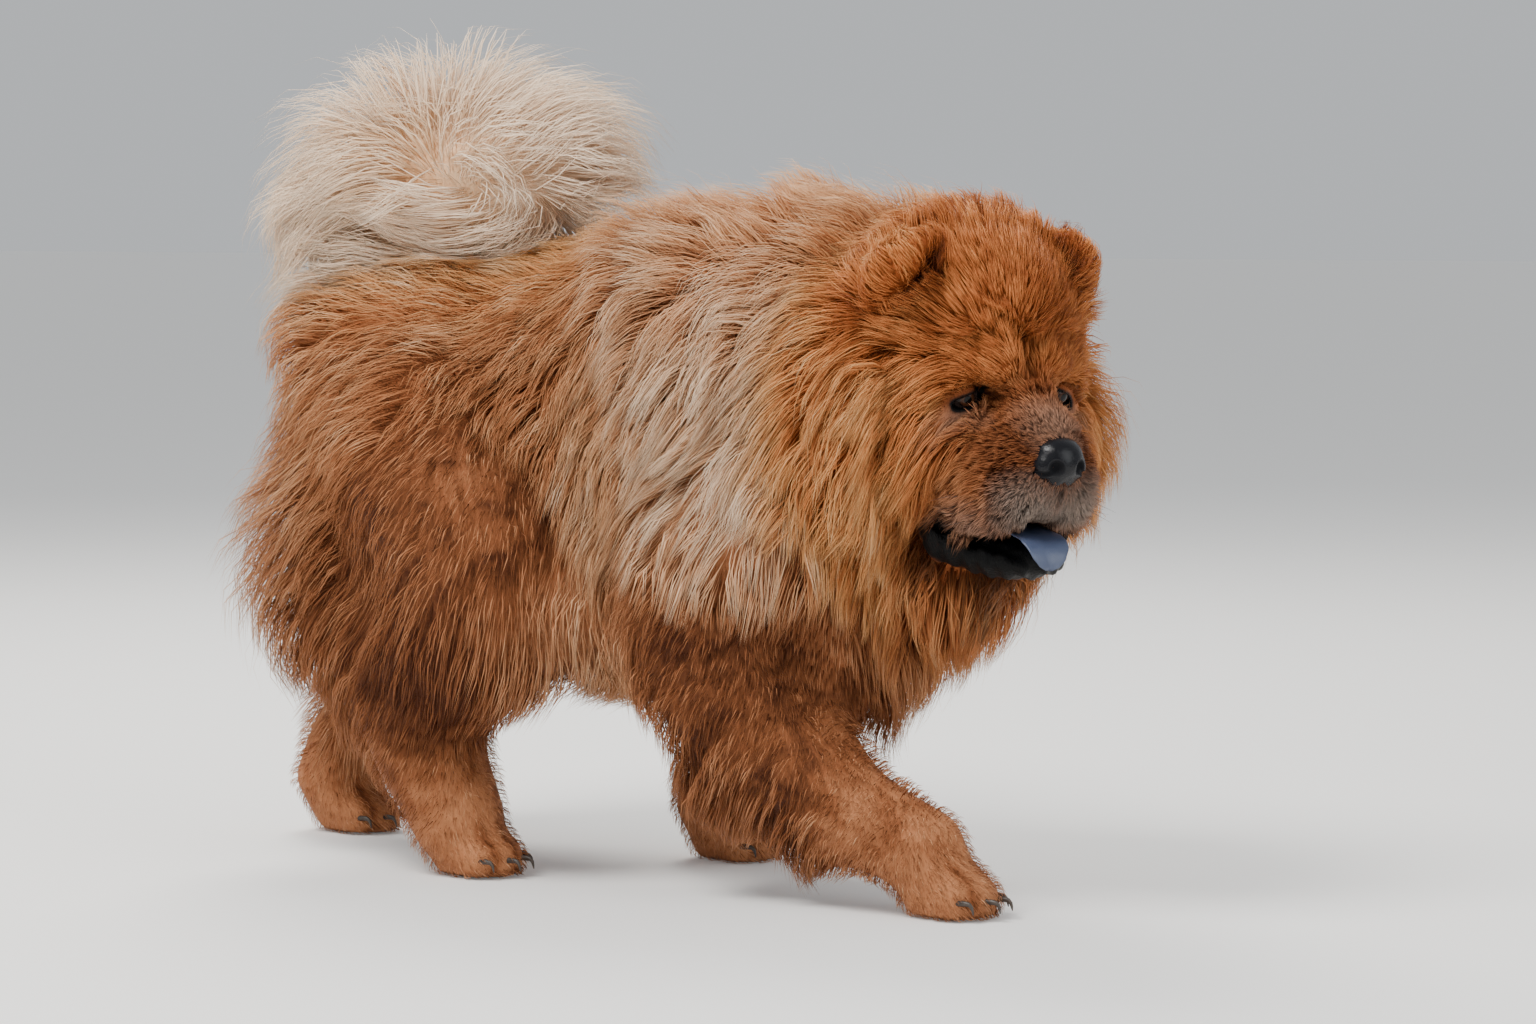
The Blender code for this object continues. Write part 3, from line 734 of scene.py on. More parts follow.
def node(tree, kind, settings=None, values=None, output=0):
    """Adds a node, with its settings first and then the values or links of its inputs."""
    made = tree.nodes.new(kind)
    for name, value in (settings or {}).items():
        if name != "stops":
            setattr(made, name, value)
            continue
        stops = made.color_ramp.elements
        while len(stops) < len(value):
            stops.new(1.0)
        for stop, (place, colour) in zip(stops, value):
            stop.position = place
            stop.color = (*colour, 1.0)
    for name, value in (values or {}).items():
        if isinstance(value, Socket):
            tree.links.new(value.output, made.inputs[name])
        else:
            made.inputs[name].default_value = value
    return Socket(tree, made.outputs[output])


def mixed(tree, share, first, second):
    """Two colours mixed by a share."""
    settings = {"data_type": "RGBA", "clamp_factor": True}
    return node(tree, "ShaderNodeMix", settings, {0: share, 6: first, 7: second}, output=2)


def read_value(tree, name):
    """A number that each point of the piece carries."""
    return node(tree, "ShaderNodeAttribute", {"attribute_name": name}, output="Fac")


def noise(tree, scale, detail=2.0, roughness=0.5, place=None):
    where = place or node(tree, "ShaderNodeTexCoord", output="Object")
    values = {"Vector": where, "Scale": scale, "Detail": detail, "Roughness": roughness}
    return node(tree, "ShaderNodeTexNoise", values=values, output="Fac")


def new_material(name):
    """A material with a bare Principled shader, and the tree and shader to work on."""
    material = bpy.data.materials.new(name)
    material.use_nodes = True
    return material, material.node_tree, material.node_tree.nodes["Principled BSDF"]


def feed(tree, shader, values):
    for name, value in values.items():
        if isinstance(value, Socket):
            tree.links.new(value.output, shader.inputs[name])
        else:
            shader.inputs[name].default_value = value


# Colours of the coat from its deepest red to its palest cream, on the body and on the head
COAT_TONES = (
    (0.00, (0.080, 0.024, 0.009)),
    (0.22, (0.262, 0.092, 0.036)),
    (0.42, (0.505, 0.218, 0.100)),
    (0.60, (0.720, 0.400, 0.220)),
    (0.80, (0.860, 0.610, 0.410)),
    (1.00, (1.000, 0.780, 0.580)),
)
WARM_TONES = (
    (0.00, (0.090, 0.018, 0.004)),
    (0.22, (0.320, 0.078, 0.018)),
    (0.42, (0.610, 0.205, 0.056)),
    (0.60, (0.780, 0.370, 0.130)),
    (0.80, (0.870, 0.590, 0.340)),
    (1.00, (0.980, 0.770, 0.570)),
)
LIP_GREY = (0.36, 0.30, 0.25)
LIP_BLACK = (0.002, 0.002, 0.002)
# Tone of the pale bare patches by the eyes and of the painted highlight on the bridge
BARE_AND_SHEEN_TONE = (0.390, 0.245, 0.170)
STRANDS = 9.0  # fine hairs seen in each tuft


def coat_material(name, root_dark, strands):
    """Hair that is dark at its root, partly as painted shade, and pale at its tip, with the
    markings and their painted shade and highlight.
    """
    material, tree, shader = new_material(name)
    along = read_value(tree, "along")
    shade = read_value(tree, "shade") + (noise(tree, 45.0, 3.0) - 0.5) * 0.20
    shade = shade + (noise(tree, 13.0, 2.0) - 0.5) * 0.22
    # Roots darker, partly painted shade of the coat over them and partly the darker under-hair;
    # tips paler
    shade = shade - root_dark * (1 - along) + read_value(tree, "tip") * along
    black = read_value(tree, "black")
    values = {"Roughness": 0.60 - black * 0.16, "Specular IOR Level": 0.11}
    if not strands:
        place = node(tree, "ShaderNodeTexCoord", output="Object")
        drawn = node(tree, "ShaderNodeVectorMath", {"operation": "MULTIPLY"},
                     {0: place, 1: (1.0, 1.0, 0.35)}, output="Vector")
        nap = noise(tree, 460.0, 3.0, 0.7, drawn)
        shade = shade + (nap - 0.5) * 0.22
        raised = node(tree, "ShaderNodeBump", values={"Height": nap, "Distance": 0.0020})
    if strands:
        wave = (read_value(tree, "across") * STRANDS).wave()
        shade = shade + wave * 0.03
        raised = node(tree, "ShaderNodeBump",
                      values={"Height": wave, "Distance": 0.0003, "Strength": 0.4})
    values["Normal"] = raised
    tone = mixed(tree, read_value(tree, "warm"),
                 node(tree, "ShaderNodeValToRGB", {"stops": COAT_TONES}, {"Fac": shade}),
                 node(tree, "ShaderNodeValToRGB", {"stops": WARM_TONES}, {"Fac": shade}))
    tone = mixed(tree, read_value(tree, "bare"), tone, (*BARE_AND_SHEEN_TONE, 1))
    tone = mixed(tree, read_value(tree, "grey"), tone, (*LIP_GREY, 1))
    tone = mixed(tree, black, tone, (*LIP_BLACK, 1))
    feed(tree, shader, {"Base Color": tone, **values})
    return material


WHISKER_ROWS = (
    ((0.0645, 0.034, -0.066), (0.0180, 0.052, -0.066)),
    ((0.0660, 0.033, -0.074), (0.0200, 0.053, -0.076)),
    ((0.0640, 0.032, -0.083), (0.0240, 0.053, -0.086)),
)


TOE_GAPS = []
for leg in LEGS:
    toes = [middle_of(f"{leg}_claw_{number}") for number in (1, 2, 3, 4)]
    TOE_GAPS += [(first + second) / 2 for first, second in zip(toes, toes[1:])]


def toe_parting_shade(points):
    """Where painted shade darkens the partings between the toes: 1 in them, and 0 away from them.
    """
    found = np.zeros(len(points))
    for gap in TOE_GAPS:
        behind = gap.x - points[:, 0]
        near = np.clip((0.030 - np.abs(behind - 0.008)) / 0.010, 0, 1)
        aside = (points[:, 1] - gap.y) / 0.0024
        found = np.maximum(found, near * np.exp(-np.square(aside)))
    return found * (points[:, 2] < 0.050)


def markings(points):
    """The markings of the coat at places in the row frame, each as a share of 1, with painted shade
    in folds, ear cups, creases and toe partings and a painted highlight on the bridge.
    """
    shade = LIE["shade"].at(points).astype(float)
    left = one_side(to_head(points))
    near = (np.abs(left - HEAD_MIDDLE) < HEAD_ROOM).all(axis=1)
    grey = 0.80 * within(left, (0.072, 0.018, -0.072), (0.020, 0.032, 0.024), 0.6)
    grey = np.maximum(grey, 0.45 * within(left, (0.040, 0.050, -0.090), (0.034, 0.020, 0.016), 0.8))
    lips = np.clip(1.5 - line_distance(left, LIP_LINE) / 0.0046, 0, 1)
    lids = np.clip(1.0 - (eye_opening(left) - 0.0022) / 0.0024, 0, 1)
    lids = np.maximum(lids, 0.62 * np.clip(1.2 - eye_opening(left) / 0.0085, 0, 1))
    jaw = within(left, (0.020, 0.018, -0.120), (0.064, 0.050, 0.0205), 0.12)
    corner = within(left, (-0.002, 0.056, -0.111), (0.026, 0.022, 0.0205), 0.20)
    inside = within(left, (0.034, 0, -0.0975), (0.052, 0.040, 0.0145), 0.15)
    parting = ((0.083, 0.0, -0.050), (0.079, 0.0, -0.080))
    parting = 0.85 * np.clip(1.6 - line_distance(left, parting) / 0.0022, 0, 1)
    black = np.maximum.reduce((lips, lids, jaw, corner, inside, parting))
    # Pale bare patches over and under the eyes, and a painted highlight on the bridge of the muzzle
    # that is partly its pale short hair
    bare = 0.55 * within(left, (0.010, 0.048, -0.014), (0.016, 0.022, 0.009), 0.6)
    bridge = within(left, (0.052, 0.000, -0.012), (0.030, 0.018, 0.016), 0.6)
    bare = np.maximum(bare, 0.60 * bridge)
    # Painted shade down in the folds of the face
    for line, width, deep, seen in FOLDS:
        shade -= near * 18 * deep * np.exp(-np.square(line_distance(left, line, seen) / width))
    # Painted shade in the ear cups
    cup = EAR_SEAT + EAR_LEFT @ CUP_SEAT
    shade -= 0.34 * near * within((left - cup) @ EAR_LEFT, (0, 0, 0), (0.019, 0.013, 0.031), 0.3)
    # Painted shade down in the creases of the plush and in the partings between the toes
    shade -= 0.16 * creased(points) + 0.24 * toe_parting_shade(points)
    sole = np.clip((0.004 - points[:, 2]) / 0.003, 0, 1)
    # Rows of dark spots where the whiskers grow
    dots = np.zeros(len(points))
    for start, end in WHISKER_ROWS:
        for part in np.linspace(0, 1, 7):
            place = np.array(start) * (1 - part) + np.array(end) * part
            beside = np.hypot(left[:, 0] - place[0], left[:, 2] - place[2])
            dots = np.maximum(dots, (beside < 0.0013) & (left[:, 1] > 0.012))
    return {"shade": shade, "grey": grey * near, "bare": bare * near,
            "warm": LIE["warm"].at(points).astype(float),
            "black": np.maximum(np.maximum(black, 0.7 * dots) * near, 0.9 * sole)}


def set_values(mesh, **values):
    for name, numbers in values.items():
        made = mesh.attributes.new(name, "FLOAT", "POINT")
        made.data.foreach_set("value", np.asarray(numbers, dtype=np.float32))


skin_places = corner_points(skin_mesh)
# Where the coat is short the skin's tone is the coat's own; under long coat it is darker, with
# painted shade of the coat over it
skin_along = np.clip(1.05 - LIE["length"].at(skin_places) / 0.040, 0.1, 0.9)
set_values(skin_mesh, along=skin_along, tip=np.zeros(len(skin_places)), **markings(skin_places))
SKIN_MATERIAL = coat_material("skin under the coat", 0.20, False)
skin_mesh.materials.append(SKIN_MATERIAL)
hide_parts(*FLESH)
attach(skin, "root")


# The coat
# The coat is thousands of slender locks of hair, rooted in the skin. Each is laid along the
# body, rises to the outline of the solids, and draws together with its neighbours at the tip.
ROOTED = 0.0015  # how deep a tuft starts in the skin
PATCH = 0.003  # of the unwrap that each tuft takes
STRAYS = 0.08  # share of single thin hairs that stand off from the rest
FLATNESS = 0.5
OVER_FLOOR = 0.0010  # that the lowest tips keep
CREST = SOLIDS_BOX[1][2] + 0.012  # the highest tips bend over above it
GRAVITY = np.array((0, 0, -1.0))
SECTION = np.radians((90, 210, 330))


def skin_volume():
    """The distance to the skin and the way out of it, for the long coat."""
    counts = volume_high - volume_low + 1
    grid = Volume(np.zeros(counts), volume_low * VOXEL, VOXEL)
    far = skin_distance(grid.grid_points()).reshape(counts)
    slope = np.stack(np.gradient(far, VOXEL), axis=-1)
    return Volume(np.concatenate([far[..., None], slope], axis=-1), volume_low * VOXEL, VOXEL)


SKIN_FAR = skin_volume()


def coarse_skin(points):
    found = SKIN_FAR.at(points)
    return found[:, 0].astype(float), unit(found[:, 1:].astype(float))


def fine_skin(points):
    here, slope = skin_slope(points, 0.0006)
    return here, unit(slope)


skin_mesh.calc_loop_triangles()
TRIANGLES = np.empty(len(skin_mesh.loop_triangles) * 3, np.int32)
skin_mesh.loop_triangles.foreach_get("vertices", TRIANGLES)
TRIANGLES = TRIANGLES.reshape(-1, 3)
TRIANGLE_LOOPS = np.empty(len(skin_mesh.loop_triangles) * 3, np.int32)
skin_mesh.loop_triangles.foreach_get("loops", TRIANGLE_LOOPS)
TRIANGLE_LOOPS = TRIANGLE_LOOPS.reshape(-1, 3)
UNWRAP = np.empty(len(skin_mesh.loops) * 2, np.float32)
skin_mesh.uv_layers["OFBake"].data.foreach_get("uv", UNWRAP)
UNWRAP = UNWRAP.reshape(-1, 2)
SKIN_POINTS = corner_points(skin_mesh)
TRIANGLE_MIDDLES = SKIN_POINTS[TRIANGLES].mean(axis=1)
edges = SKIN_POINTS[TRIANGLES[:, 1:]] - SKIN_POINTS[TRIANGLES[:, :1]]
TRIANGLE_SIZES = np.linalg.norm(np.cross(edges[:, 0], edges[:, 1]), axis=1) / 2


def spread_roots(chance, chosen, total):
    """Places for the roots on the chosen triangles of the skin, with their unwrap."""
    share = TRIANGLE_SIZES[chosen] / np.square(LIE["width"].at(TRIANGLE_MIDDLES[chosen]))
    expected = share * total / share.sum()
    apart = np.sqrt(TRIANGLE_SIZES[chosen] / expected)
    picked = np.searchsorted(np.cumsum(expected), np.arange(total) + chance.random(total))
    picked = np.minimum(picked, len(chosen) - 1)
    apart, picked = apart[picked], chosen[picked]
    share = chance.random((total, 2))
    over = share.sum(axis=1) > 1
    share[over] = 1 - share[over]
    share = np.column_stack((1 - share.sum(axis=1), share))[:, :, None]
    roots = (SKIN_POINTS[TRIANGLES[picked]] * share).sum(axis=1)
    return roots, apart, (UNWRAP[TRIANGLE_LOOPS[picked]] * share).sum(axis=1)


def nearest_of(points, few):
    """For each point, the number of the nearest of a few others."""
    tree = KDTree(len(few))
    for number, point in enumerate(few):
        tree.insert(point, number)
    tree.balance()
    return np.array([tree.find(point)[1] for point in points])


def comb(chance, roots, look, steps, fine):
    """Lays the tufts along the coat: their points from root to tip, and each one's tone."""
    count = len(roots)
    leader = chance.random(count) < np.square(look["apart"] / look["lock"])
    leader[0] = True
    leaders = np.flatnonzero(leader)
    lock = nearest_of(roots, roots[leaders])
    great = np.flatnonzero(chance.random(len(leaders)) < 0.16)
    great = great if len(great) else np.array([0])
    great_lock = nearest_of(roots[leaders], roots[leaders[great]])[lock]
    stray = chance.random(count) < STRAYS
    tousle = look["tousle"][:, None]
    sway = chance.normal(0, 0.16, (len(leaders), 3))[lock]
    sway = sway + chance.normal(0, 0.18, (len(great), 3))[great_lock]
    sway = sway + chance.normal(0, 0.10, (count, 3)) * np.where(stray, 3, 1)[:, None]
    sway = sway * tousle
    wave = chance.normal(0, 0.22, (len(leaders), 3))[lock] * tousle
    lift = 1 + chance.normal(0, 0.10, len(leaders))[lock]
    tone = chance.normal(0, 0.03 if fine else 0.055, len(leaders))[lock]
    tone = tone + chance.normal(0, 0.03, count)

    skin_here = fine_skin if fine else coarse_skin
    height = np.minimum(-OUTLINE.at(roots), look["length"] * 0.8)
    height = np.maximum(height, look["length"] * 0.3) * look["stand"]
    height = height * (1 - 0.6 * creased(roots))
    level = chance.random(count) ** 0.6
    height = height * (0.42 + 0.62 * level) * lift * np.where(stray, 1.15, 1)
    length = look["length"] * (0.72 + 0.45 * chance.random(count))
    here, up = skin_here(roots)
    line = [roots - up * ROOTED]
    at = roots.copy()
    for number in range(1, steps + 1):
        part = number / steps
        rise = 1 - (1 - part) ** 1.7
        climb = height * (rise - (1 - (1 - (number - 1) / steps) ** 1.7))
        way = unit(WAY.at(at).astype(float)) + sway + wave * np.cos(np.pi * 1.5 * part)
        way = way - up * (way * up).sum(axis=1, keepdims=True)
        fall = (look["hang"] * part)[:, None]
        way = unit(unit(way) * (1 - 0.7 * fall) + GRAVITY * fall)
        step = length / steps
        flat = np.sqrt(np.maximum(np.square(step) - np.square(climb), np.square(0.45 * step)))
        at = at + way * flat[:, None] + up * climb[:, None]
        here, up = skin_here(at)
        wanted = height * rise
        firm = 1 - 0.75 * look["hang"] * part
        low = np.minimum(here - wanted, 0)
        high = np.maximum(here - wanted, 0)
        at = at - up * (low * np.maximum(firm, 0.6) + high * firm)[:, None]
        at[:, 2] = np.maximum(at[:, 2], OVER_FLOOR)
        line.append(at)
    line = np.stack(line, axis=1)

    # The tips of a lock draw together, and the locks of a great lock do so a little
    part = np.linspace(0, 1, steps + 1)[None, :, None]
    for pull, chief in ((0.45, leaders[great][great_lock]), (1.0, leaders[lock])):
        gather = look["gather"] * np.where(stray, 0.2, chance.uniform(0.7, 1.1, count))
        share = pull * gather[:, None, None] * part ** 1.25
        shift_in = line[chief] - line
        room_in = np.linalg.norm(shift_in[:, :1], axis=2, keepdims=True)
        share = share * np.clip(2 - room_in / (2.6 * look["lock"][:, None, None] / pull), 0, 1)
        line = line + share * shift_in
    line[..., 2] -= 0.6 * np.maximum(line[..., 2] - CREST, 0)
    # Lower tufts darker and higher ones paler, partly the under-hair's own tone and partly painted
    # shade within the coat
    tone = tone + 0.12 * (level - 0.6)
    width = look["width"] * np.where(stray, 0.55, chance.uniform(0.8, 1.25, count))
    return line, width, tone


def tuft_mesh(name, line, width, turn, unwrap, root_light, values, material):
    """One closed three-sided lock along each line, tapering to its tip."""
    count, rings = line.shape[0], line.shape[1] - 1
    part = np.arange(rings) / rings
    ahead = unit(np.diff(line, axis=1))
    ahead = np.concatenate([ahead[:, :1], unit(ahead[:, 1:] + ahead[:, :-1])], axis=1)
    _, up = coarse_skin(line[:, :-1].reshape(-1, 3))
    up = up.reshape(count, rings, 3)
    across = unit(np.cross(ahead, up))
    over = np.cross(across, ahead)
    half = 0.5 * width[:, None] * (0.55 + 0.75 * np.sin(np.pi * part ** 0.75)) * (1 - part ** 2)
    angle = SECTION[None, :] + turn[:, None]
    wide = np.cos(angle)[:, None, :, None] * across[:, :, None, :]
    tall = FLATNESS * np.sin(angle)[:, None, :, None] * over[:, :, None, :]
    ring = line[:, :-1, None, :] + half[:, :, None, None] * (wide + tall)
    points = np.concatenate([ring.reshape(count, rings * 3, 3), line[:, -1:]], axis=1)

    # Faces of one tuft, then of them all: walls, the point and the root's end
    walls, wall_patch = [], []
    for level in range(rings - 1):
        for side in range(3):
            after = (side + 1) % 3
            low, high = level * 3, (level + 1) * 3
            walls.append((low + side, low + after, high + after, high + side))
            wall_patch.append([((side + a) / 3, (level + b) / rings)
                               for a, b in ((0, 0), (1, 0), (1, 1), (0, 1))])
    top = (rings - 1) * 3
    tips = [(top + side, top + (side + 1) % 3, rings * 3) for side in range(3)] + [(2, 1, 0)]
    tip_patch = [[(side / 3, top / 3 / rings), ((side + 1) / 3, top / 3 / rings),
                  ((side + 0.5) / 3, 1)] for side in range(3)] + [[(0.66, 0), (0.33, 0), (0, 0)]]
    loops_one = np.concatenate([np.ravel(walls), np.ravel(tips)]).astype(np.int32)
    patch_one = np.concatenate([np.reshape(wall_patch, (-1, 2)), np.reshape(tip_patch, (-1, 2))])
    sizes_one = np.array([4] * len(walls) + [3] * len(tips), np.int32)
    each = rings * 3 + 1
    loops = (loops_one[None] + each * np.arange(count)[:, None]).ravel()
    starts_one = np.concatenate([[0], np.cumsum(sizes_one)[:-1]])
    starts = (starts_one[None] + len(loops_one) * np.arange(count)[:, None]).ravel()

    mesh = bpy.data.meshes.new(name)
    mesh.vertices.add(count * each)
    mesh.vertices.foreach_set("co", points.astype(np.float32).ravel())
    mesh.loops.add(len(loops))
    mesh.loops.foreach_set("vertex_index", loops.astype(np.int32))
    mesh.polygons.add(len(starts))
    mesh.polygons.foreach_set("loop_start", starts.astype(np.int32))
    mesh.update(calc_edges=True)
    uv = unwrap[:, None, :] + PATCH * (patch_one[None] - 0.5)
    mesh.uv_layers.new(name="OFBake").data.foreach_set("uv", uv.astype(np.float32).ravel())
    along = root_light + (1 - root_light) * np.append(np.repeat(part, 3), 1.0)
    spread = {key: np.repeat(value, each) for key, value in values.items()}
    across = np.append(np.tile((0.0, 1.0, 2.0), rings), 1.0)
    set_values(mesh, along=np.tile(along, count), across=np.tile(across, count), **spread)
    mesh.materials.append(material)
    mesh.shade_smooth()
    made = bpy.data.objects.new(name, mesh)
    bpy.context.scene.collection.objects.link(made)
    return made


COAT_MATERIAL = coat_material("coat", 0.24, True)
TAIL_MATERIAL = coat_material("pale coat of the tail", 0.12, True)
ROOT_NODE = NODE.nearest(TRIANGLE_MIDDLES)
NODE_NUMBER = {node_name: number for number, node_name in enumerate(FLESH)}
ON_FACE = on_face(TRIANGLE_MIDDLES)
head_side = one_side(to_head(TRIANGLE_MIDDLES))
BARE = (markings(TRIANGLE_MIDDLES)["black"] > 0.72) | (TRIANGLE_MIDDLES[:, 2] < 0.003)
BARE |= ON_FACE & (eye_opening(head_side) < 0.0040)


def of_nodes(*names):
    return np.isin(ROOT_NODE, [NODE_NUMBER[node_name] for node_name in names])


def leg_nodes(word):
    return [node_name for node_name in LEG_NODES if node_name.startswith(word)]


heading = TRIANGLE_MIDDLES[:, 1] + 0.25 * (TRIANGLE_MIDDLES[:, 0] - 0.2)
LONG = LIE["length"].at(TRIANGLE_MIDDLES) > 0.030
ON_EAR = (round_form(head_side, EAR_SEAT, EAR_SIZE, EAR_LEFT) < 0.004) & ON_FACE
EAR_LOOK = {"length": 0.017, "width": 0.0009, "lock": 0.007, "gather": 0.2, "stand": 1.2}
MUZZLE = LIE["length"].at(TRIANGLE_MIDDLES) < 0.0115
face = ON_FACE & of_nodes(*HEAD_NODES, "mane") & ~ON_EAR
ruff = of_nodes("head", "mane", "ear_right", "ear_left") & ~ON_FACE
# Each piece: where its roots are, segments along a tuft, its triangles, how light the roots
# are, and if it's on the face
COAT_PIECES = (
    ("muzzle_coat", face & MUZZLE, 2, 110000, 0.0, True),
    ("brow_coat", face & ~MUZZLE & ~LONG, 2, 150000, 0.5, True),
    ("cheek_coat", face & LONG, 3, 155000, 0.2, True),
    ("ear_coat", ON_EAR, 3, 50000, 0.4, True),
    ("ruff_right", ruff & (heading < 0), 4, 190000, 0.0, False),
    ("ruff_left", ruff & (heading >= 0), 4, 125000, 0.0, False),
    ("chest_coat", of_nodes("chest", "lower_jaw", "muzzle") & ~ON_FACE, 4, 40000, 0.0, False),
    ("trunk_coat", of_nodes("trunk"), 3, 125000, 0.2, False),
    ("rump_coat", of_nodes("rump"), 3, 140000, 0.2, False),
    ("tail_coat", of_nodes("tail"), 4, 140000, 0.0, False),
    ("foreleg_coat", of_nodes(*leg_nodes("foreleg")), 2, 150000, 0.3, False),
    ("hindleg_coat", of_nodes(*leg_nodes("hindleg")), 2, 125000, 0.3, False),
)
for seed, (name, where, steps, triangles, root_light, fine) in enumerate(COAT_PIECES):
    chance = np.random.default_rng(seed + 11)
    tufts = triangles // (6 * steps - 2)
    roots, apart, unwrap = spread_roots(chance, np.flatnonzero(where & ~BARE), tufts)
    look = {word: LIE[word].at(roots).astype(float) for word in NUMBERS}
    look["apart"] = apart
    if fine:
        eye_far = eye_opening(one_side(to_head(roots)))
        look["length"] *= np.clip((eye_far - 0.002) / 0.014, 0.45, 1)
    if name == "ear_coat":
        look.update({word: np.full(tufts, value) for word, value in EAR_LOOK.items()})
        # The back of an ear runs into the mane, so its hair grows longer there
        behind = (one_side(to_head(roots)) - EAR_SEAT) @ EAR_LEFT
        behind = np.clip(0.3 - behind[:, 0] / 0.010 - behind[:, 2] / 0.040, 0, 1)
        look["length"] += 0.026 * behind
        look["gather"] += 0.20 * behind
    line, width, tone = comb(chance, roots, look, steps, fine)
    values = markings(roots)
    values["shade"] += tone
    values["tip"] = look["tip"]
    turn = chance.uniform(-0.7, 0.7, tufts)
    material = TAIL_MATERIAL if name == "tail_coat" else COAT_MATERIAL
    piece = tuft_mesh(name, line, width, turn, unwrap, root_light, values, material)
    "tail_coat" if name == "tail_coat" else "coat"
    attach(piece, "root")
    print(name, tufts, float(np.sqrt(TRIANGLE_SIZES[where].sum() / tufts)), flush=True)

# The nose
# The nose leather is a firm black pad, broad and square in front, with comma-shaped nostrils
# and a groove down to the lip. It is a closed form of its own, set into the muzzle.
NOSE_STEP = 0.0009
NOSE_LOW, NOSE_HIGH = (0.048, -0.032, -0.066), (0.100, 0.032, -0.006)
NOSE_FORMS = (
    ((0.0725, 0.0000, -0.0330), (0.0190, 0.0200, 0.0165), 0.004),  # pad
    ((0.0700, 0.0000, -0.0250), (0.0165, 0.0188, 0.0120), 0.005),  # its rounded top
    ((0.0720, 0.0135, -0.0360), (0.0135, 0.0095, 0.0115), 0.003),  # wing of the nostril
    ((0.0740, 0.0050, -0.0450), (0.0105, 0.0085, 0.0090), 0.005),  # beside the groove
)
NOSTRIL = (((0.0900, 0.0085, -0.0360), (0.0870, 0.0125, -0.0370), (0.0820, 0.0180, -0.0400),
            (0.0770, 0.0230, -0.0415)))
GROOVE = ((0.096, 0.0, -0.038), (0.092, 0.0, -0.050), (0.086, 0.0, -0.062))


def nostril(left):
    hole = round_form(left, (0.0900, 0.0115, -0.0335), (0.0080, 0.0055, 0.0056))
    return joined(hole, line_distance(left, NOSTRIL) - 0.0017, 0.002)


def nose_form(at):
    left = one_side(at)
    found = np.full(len(at), 1.0)
    for middle, radii, soft in NOSE_FORMS:
        found = joined(found, round_form(left, middle, radii), soft)
    found = carved(found, nostril(left), 0.0015)
    return carved(found, line_distance(left, GROOVE) - 0.0014, 0.0015)


def head_piece(name, form, low, high, step):
    """The closed surface of a form that is given in the head's frame."""
    low = np.array(low)
    counts = np.ceil((np.array(high) - low) / step).astype(int) + 1
    values = form(Volume(np.zeros(counts), low, step).grid_points()).reshape(counts)
    points, quads = surface_of(values, (0, 0, 0), step, 0.0)
    points, quads = largest_piece(points.astype(float), quads)
    return closed_piece(name, from_head(points + low), quads)


def closed_piece(name, points, faces):
    """An object of the given points and faces, smooth and with its faces turned outwards."""
    mesh = bpy.data.meshes.new(name)
    mesh.from_pydata(np.asarray(points).tolist(), [], [list(map(int, face)) for face in faces])
    shape = bmesh.new()
    shape.from_mesh(mesh)
    bmesh.ops.recalc_face_normals(shape, faces=shape.faces)
    shape.to_mesh(mesh)
    shape.free()
    mesh.shade_smooth()
    made = bpy.data.objects.new(name, mesh)
    bpy.context.scene.collection.objects.link(made)
    return made


def nose_material():
    material, tree, shader = new_material("moist black nose leather")
    place = node(tree, "ShaderNodeTexCoord", output="Object")
    pebbles = node(tree, "ShaderNodeTexVoronoi", values={"Vector": place, "Scale": 850.0},
                   output="Distance")
    damp = noise(tree, 120.0, 3.0)
    height = (pebbles * -0.8) + noise(tree, 300.0, 2.0) * 0.5
    raised = node(tree, "ShaderNodeBump", values={"Height": height, "Distance": 0.0004,
                                                   "Strength": 0.5})
    feed(tree, shader, {
        "Base Color": mixed(tree, damp, (0.002, 0.002, 0.003, 1), (0.006, 0.006, 0.008, 1)),
        "Roughness": 0.15 + damp * 0.14 + read_value(tree, "inside") * 0.7,
        "Normal": raised, "Specular IOR Level": 0.24,
    })
    return material


nose = head_piece("nose", nose_form, NOSE_LOW, NOSE_HIGH, NOSE_STEP)
within_nostril = nostril(one_side(to_head(corner_points(nose.data))))
set_values(nose.data, inside=np.clip(1.3 - within_nostril / 0.0014, 0, 1))
nose.data.materials.append(nose_material())
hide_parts("nose")
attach(nose, "root")

# The eyes
# Dark brown eyes, each a glossy ball with a low dome over the iris, seated behind the lids.
EYE_BALL = 0.0119
DOME = 0.0011
GAZE = unit(np.array((1.0, 0.22, -0.08)))  # of the left eye
IRIS_EDGE = 0.56  # in radians from the gaze
EYE_RINGS, EYE_SPOKES = 26, 28


